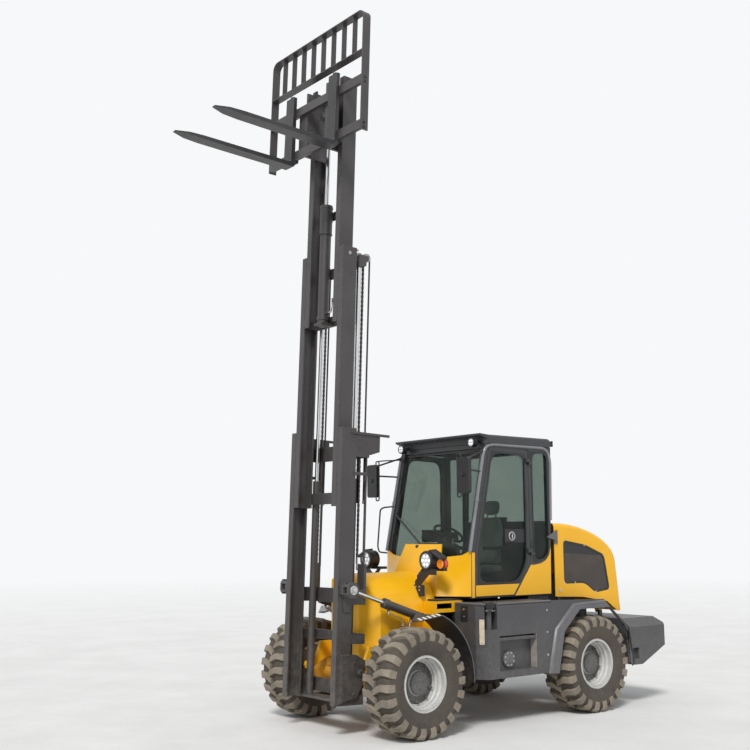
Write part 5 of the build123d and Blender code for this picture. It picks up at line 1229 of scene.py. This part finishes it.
def controls():
    """Levers with knobs, a small screen, pedals and the steering wheel's hub."""
    dark, steel = bmesh.new(), bmesh.new()
    upward = (0, 0, 1)
    for i in range(4):
        x, y = -1.56 - 0.06 * i, -0.44 - 0.02 * (i % 2)
        rod(steel, at(x, y, 1.768), at(x - 0.012, y, 1.9), 0.006, 10)
        turned(dark, [(0.0, 0.0), (0.012, 0.002), (0.019, 0.02), (0.018, 0.036), (0.01, 0.048), (0.0, 0.05)],
               at(x - 0.012, y, 1.895), 20, upward)
        post(dark, at, x, y, 1.77, 1.784, 0.02, 16, 0.01)
    rod(steel, at(-1.5, 0.3, 1.34), at(-1.54, 0.3, 1.64), 0.008, 10)
    turned(dark, [(0.0, 0.0), (0.016, 0.006), (0.018, 0.03), (0.0, 0.044)], at(-1.54, 0.3, 1.635), 20, upward)
    turned(dark, [(0.0, -0.014), (0.05, -0.014), (0.042, 0.012), (0.0, 0.016)], at(-1.33, 0, 2.008), 28,
           (-0.53, 0, 0.85))
    for y in (-0.2, 0.06, 0.2):
        block(dark, (-1.23, y - 0.04, 1.43), (-1.245, y + 0.04, 1.53))
        rod(steel, at(-1.19, y, 1.47), at(-1.235, y, 1.475), 0.007, 8)
    block(dark, (-1.205, 0.15, 1.905), (-1.19, 0.3, 2.02))
    rod(steel, at(-1.18, 0.225, 1.89), at(-1.197, 0.225, 1.95), 0.008, 10)
    piece(dark, "lever_knobs", "black_plastic", bevel=0.001)
    piece(steel, "lever_rods", "bolt_steel")


# Seat
CHANNEL_DEPTH, CHANNEL_WIDTH = 0.007, 0.0075


def swell(obj, cap):
    """Blow the pad up as cloth, no point moving further than the cap."""
    start = [v.co.copy() for v in obj.data.vertices]
    mod = obj.modifiers.new("swell", "CLOTH")
    mod.settings.use_pressure = True
    mod.settings.uniform_pressure_force = 4.0
    mod.settings.effector_weights.gravity = 0.0
    mod.settings.quality = 4
    scene = bpy.context.scene
    for step in range(1, 21):
        scene.frame_set(step)
    shaped = obj.evaluated_get(bpy.context.evaluated_depsgraph_get()).to_mesh()
    moved = [v.co.copy() for v in shaped.vertices]
    obj.modifiers.remove(mod)
    for v, old, new in zip(obj.data.vertices, start, moved):
        shift = new - old
        v.co = old + shift * min(1.0, cap / max(shift.length, 1e-9))
    scene.frame_set(1)


def pad(name, outline, half_w, channels, front, cap=0.012, narrow=(0.0, 0.0)):
    """Cushion from its side outline, swelled, with sewn channels at Y values on the side that faces front.

    narrow is how much of its width it loses at its foot and at its top."""
    bm = bmesh.new()
    plate(bm, inset(outline, 0.01), -half_w + 0.01, half_w - 0.01)
    bmesh.ops.recalc_face_normals(bm, faces=bm.faces)
    bmesh.ops.bevel(bm, geom=bm.edges[:], offset=0.026, segments=4, affect="EDGES", profile=0.6)
    rough = meshed(bm, name + "_rough")
    mod = rough.modifiers.new("even", "REMESH")
    mod.mode = "VOXEL"
    mod.voxel_size = 0.008
    even = bpy.data.meshes.new_from_object(rough.evaluated_get(bpy.context.evaluated_depsgraph_get()))
    bpy.data.objects.remove(rough)
    heights = [v.co.z for v in even.vertices]
    foot, top = min(heights), max(heights)
    for v in even.vertices:
        t = 2 * (v.co.z - foot) / (top - foot) - 1
        v.co.y *= 1 - (narrow[1] if t > 0 else narrow[0]) * abs(t) ** 3
    obj = linked(name, even)
    swell(obj, cap)
    bm = bmesh.new()
    bm.from_mesh(even)
    bm.normal_update()
    front = Vector(front).normalized()
    for v in bm.verts:
        towards = max(0.0, v.normal.dot(front) - 0.45) / 0.55
        dip = sum(exp(-((v.co.y - y) / CHANNEL_WIDTH) ** 2) for y in channels)
        v.co -= v.normal * (CHANNEL_DEPTH * min(1.0, dip) * min(1.0, towards * 2))
    for face in bm.faces:
        face.smooth = True
    bm.to_mesh(even)
    bm.free()
    even.materials.clear()
    even.materials.append(MAT["seat_fabric"])
    obj.modifiers.new("rounding", "SUBSURF").render_levels = 1
    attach(obj, "body")
    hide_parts("seat")


def seat():
    """Cushions, and the shells, bellows, hinges and headrest posts that carry them."""
    pad("seat_cushion", [(-2.0, 1.548), (-1.52, 1.548), (-1.52, 1.636), (-1.56, 1.64), (-2.0, 1.64)], 0.24,
        (-0.15, 0.15), (0, 0, 1))
    pad("seat_back", [(-1.995, 1.64), (-1.89, 1.64), (-1.99, 2.22), (-2.072, 2.22)], 0.23,
        (-0.15, -0.075, 0.0, 0.075, 0.15), (1, 0, 0.17), narrow=(0.05, 0.42))
    pad("headrest", [(-2.072, 2.222), (-1.996, 2.222), (-2.025, 2.408), (-2.095, 2.408)], 0.13,
        (), (1, 0, 0.1), 0.008, narrow=(0.4, 0.35))
    bm = bmesh.new()
    block(bm, (-1.985, -0.225, 1.52), (-1.535, 0.225, 1.548))
    plate(bm, [(-2.006, 1.56), (-1.996, 1.56), (-2.075, 2.2), (-2.087, 2.2)], -0.215, 0.215)
    for k in range(7):
        grow = 0.012 if k % 2 else 0.0
        z = 1.372 + k * 0.021
        block(bm, (-1.955 - grow, -0.165 - grow, z), (-1.645 + grow, 0.165 + grow, z + 0.021))
    block(bm, (-1.98, -0.19, 1.34), (-1.62, 0.19, 1.372))
    for y in (-0.07, 0.07):
        rod(bm, at(-2.036, y, 2.18), at(-2.046, y, 2.24), 0.007, 10)
    for s in (1, -1):
        rod(bm, at(-1.99, s * 0.222, 1.82), at(-1.96, s * 0.252, 1.82), 0.03, 16)
        armrest = ((-0.028, 1.815), (0.028, 1.815), (0.02, 1.858), (-0.02, 1.858))
        quad_ring(bm, [[at(x, s * 0.25 + dy, z) for dy, z in armrest] for x in (-1.985, -1.66)])
    piece(bm, "seat_frame", "black_plastic", replaces=["seat"], bevel=0.003)


for side in PLACES:
    cab_panels(*side)
cab_front()
for side in PLACES:
    mirror(*side)
controls()
seat()


# Stage, light and camera
BACKDROP = (0.93, 0.94, 0.95, 1)
SKY = (0.93, 0.96, 1.0, 1)
SKY_STRENGTH = 0.55
SUN_AT, SUN_STRENGTH, SUN_ANGLE = Vector((6.0, 5.0, 9.0)), 2.4, radians(14)
SUN_TARGET = Vector((0, 0, 1))
FLOOR_RADII = (6.0, 14.0, 30.0, 70.0, 160.0)
CAMERA_AT = at(7.0361, 9.0934, 1.9762)
CAMERA_YAW, CAMERA_PITCH, CAMERA_ROLL = radians(231.32), 0.1533, 0.0046
CAMERA_LENS = 50.23


def floor():
    """Pale floor that goes over into the backdrop's colour far away."""
    bm = bmesh.new()
    middle = bm.verts.new((0, 0, 0))
    loops = [[bm.verts.new((x, y, 0)) for x, y in circle(48, radius)] for radius in FLOOR_RADII]
    for a, b in zip(loops[0], loops[0][1:] + loops[0][:1]):
        bm.faces.new((middle, a, b))
    skin(bm, loops[::-1])
    obj = meshed(bm, "floor")
    t = Tree("pale_floor")
    colour = t.mix(t.spread(t.noise(0.8, 8.0, 0.7), 0.3, 0.7), (0.7, 0.69, 0.67, 1), (0.8, 0.79, 0.77, 1))
    t.set(t.shader, Base_Color=colour, Roughness=t.spread(t.noise(5.0), 0.3, 0.7, 0.8, 0.95))
    t.bump(t.noise(40.0, 8.0, 0.7), 0.3, 0.006)
    far = t.spread(t.vector_sum("LENGTH", t.place), 9.0, 40.0)
    t.blend(far, t.shader, t.add("ShaderNodeEmission", None, Color=BACKDROP))
    obj.data.materials.append(MAT["pale_floor"])


def world():
    """Soft sky light; the camera, gloss and glass see the backdrop's colour instead."""
    w = bpy.data.worlds.new("studio")
    bpy.context.scene.world = w
    w.use_nodes = True
    nodes, links = w.node_tree.nodes, w.node_tree.links
    ambient = nodes["Background"]
    ambient.inputs["Color"].default_value = SKY
    ambient.inputs["Strength"].default_value = SKY_STRENGTH
    shown = nodes.new("ShaderNodeBackground")
    shown.inputs["Color"].default_value = BACKDROP
    path = nodes.new("ShaderNodeLightPath")
    seen = path.outputs["Is Camera Ray"]
    for ray in ("Is Glossy Ray", "Is Transmission Ray"):
        more = nodes.new("ShaderNodeMath")
        more.operation = "MAXIMUM"
        links.new(seen, more.inputs[0])
        links.new(path.outputs[ray], more.inputs[1])
        seen = more.outputs[0]
    blend = nodes.new("ShaderNodeMixShader")
    for socket, value in zip(blend.inputs, (seen, ambient.outputs[0], shown.outputs[0])):
        links.new(value, socket)
    links.new(blend.outputs[0], nodes["World Output"].inputs["Surface"])


def sun():
    """One large soft lamp from the front left."""
    data = bpy.data.lights.new("key", "SUN")
    data.energy = SUN_STRENGTH
    data.angle = SUN_ANGLE
    obj = linked("key", data)
    obj.location = SUN_AT
    obj.rotation_mode = "QUATERNION"
    obj.rotation_quaternion = (SUN_TARGET - SUN_AT).to_track_quat("-Z", "Y")


def camera():
    """Camera solved from the photograph: its place, heading, tilt and roll."""
    data = bpy.data.cameras.new("camera")
    data.lens = CAMERA_LENS
    data.sensor_width = 36.0
    data.clip_end = 400.0
    obj = linked("camera", data)
    level = cos(CAMERA_PITCH)
    ahead = Vector((cos(CAMERA_YAW) * level, sin(CAMERA_YAW) * level, sin(CAMERA_PITCH)))
    right = ahead.cross(Vector((0, 0, 1))).normalized()
    down = ahead.cross(right)
    c, s = cos(CAMERA_ROLL), sin(CAMERA_ROLL)
    right, down = right * c + down * s, down * c - right * s
    obj.matrix_world = Matrix.Translation(CAMERA_AT) @ Matrix((right, -down, -ahead)).transposed().to_4x4()
    bpy.context.scene.camera = obj


floor()
world()
sun()
camera()
bpy.context.scene.view_settings.view_transform = "Standard"
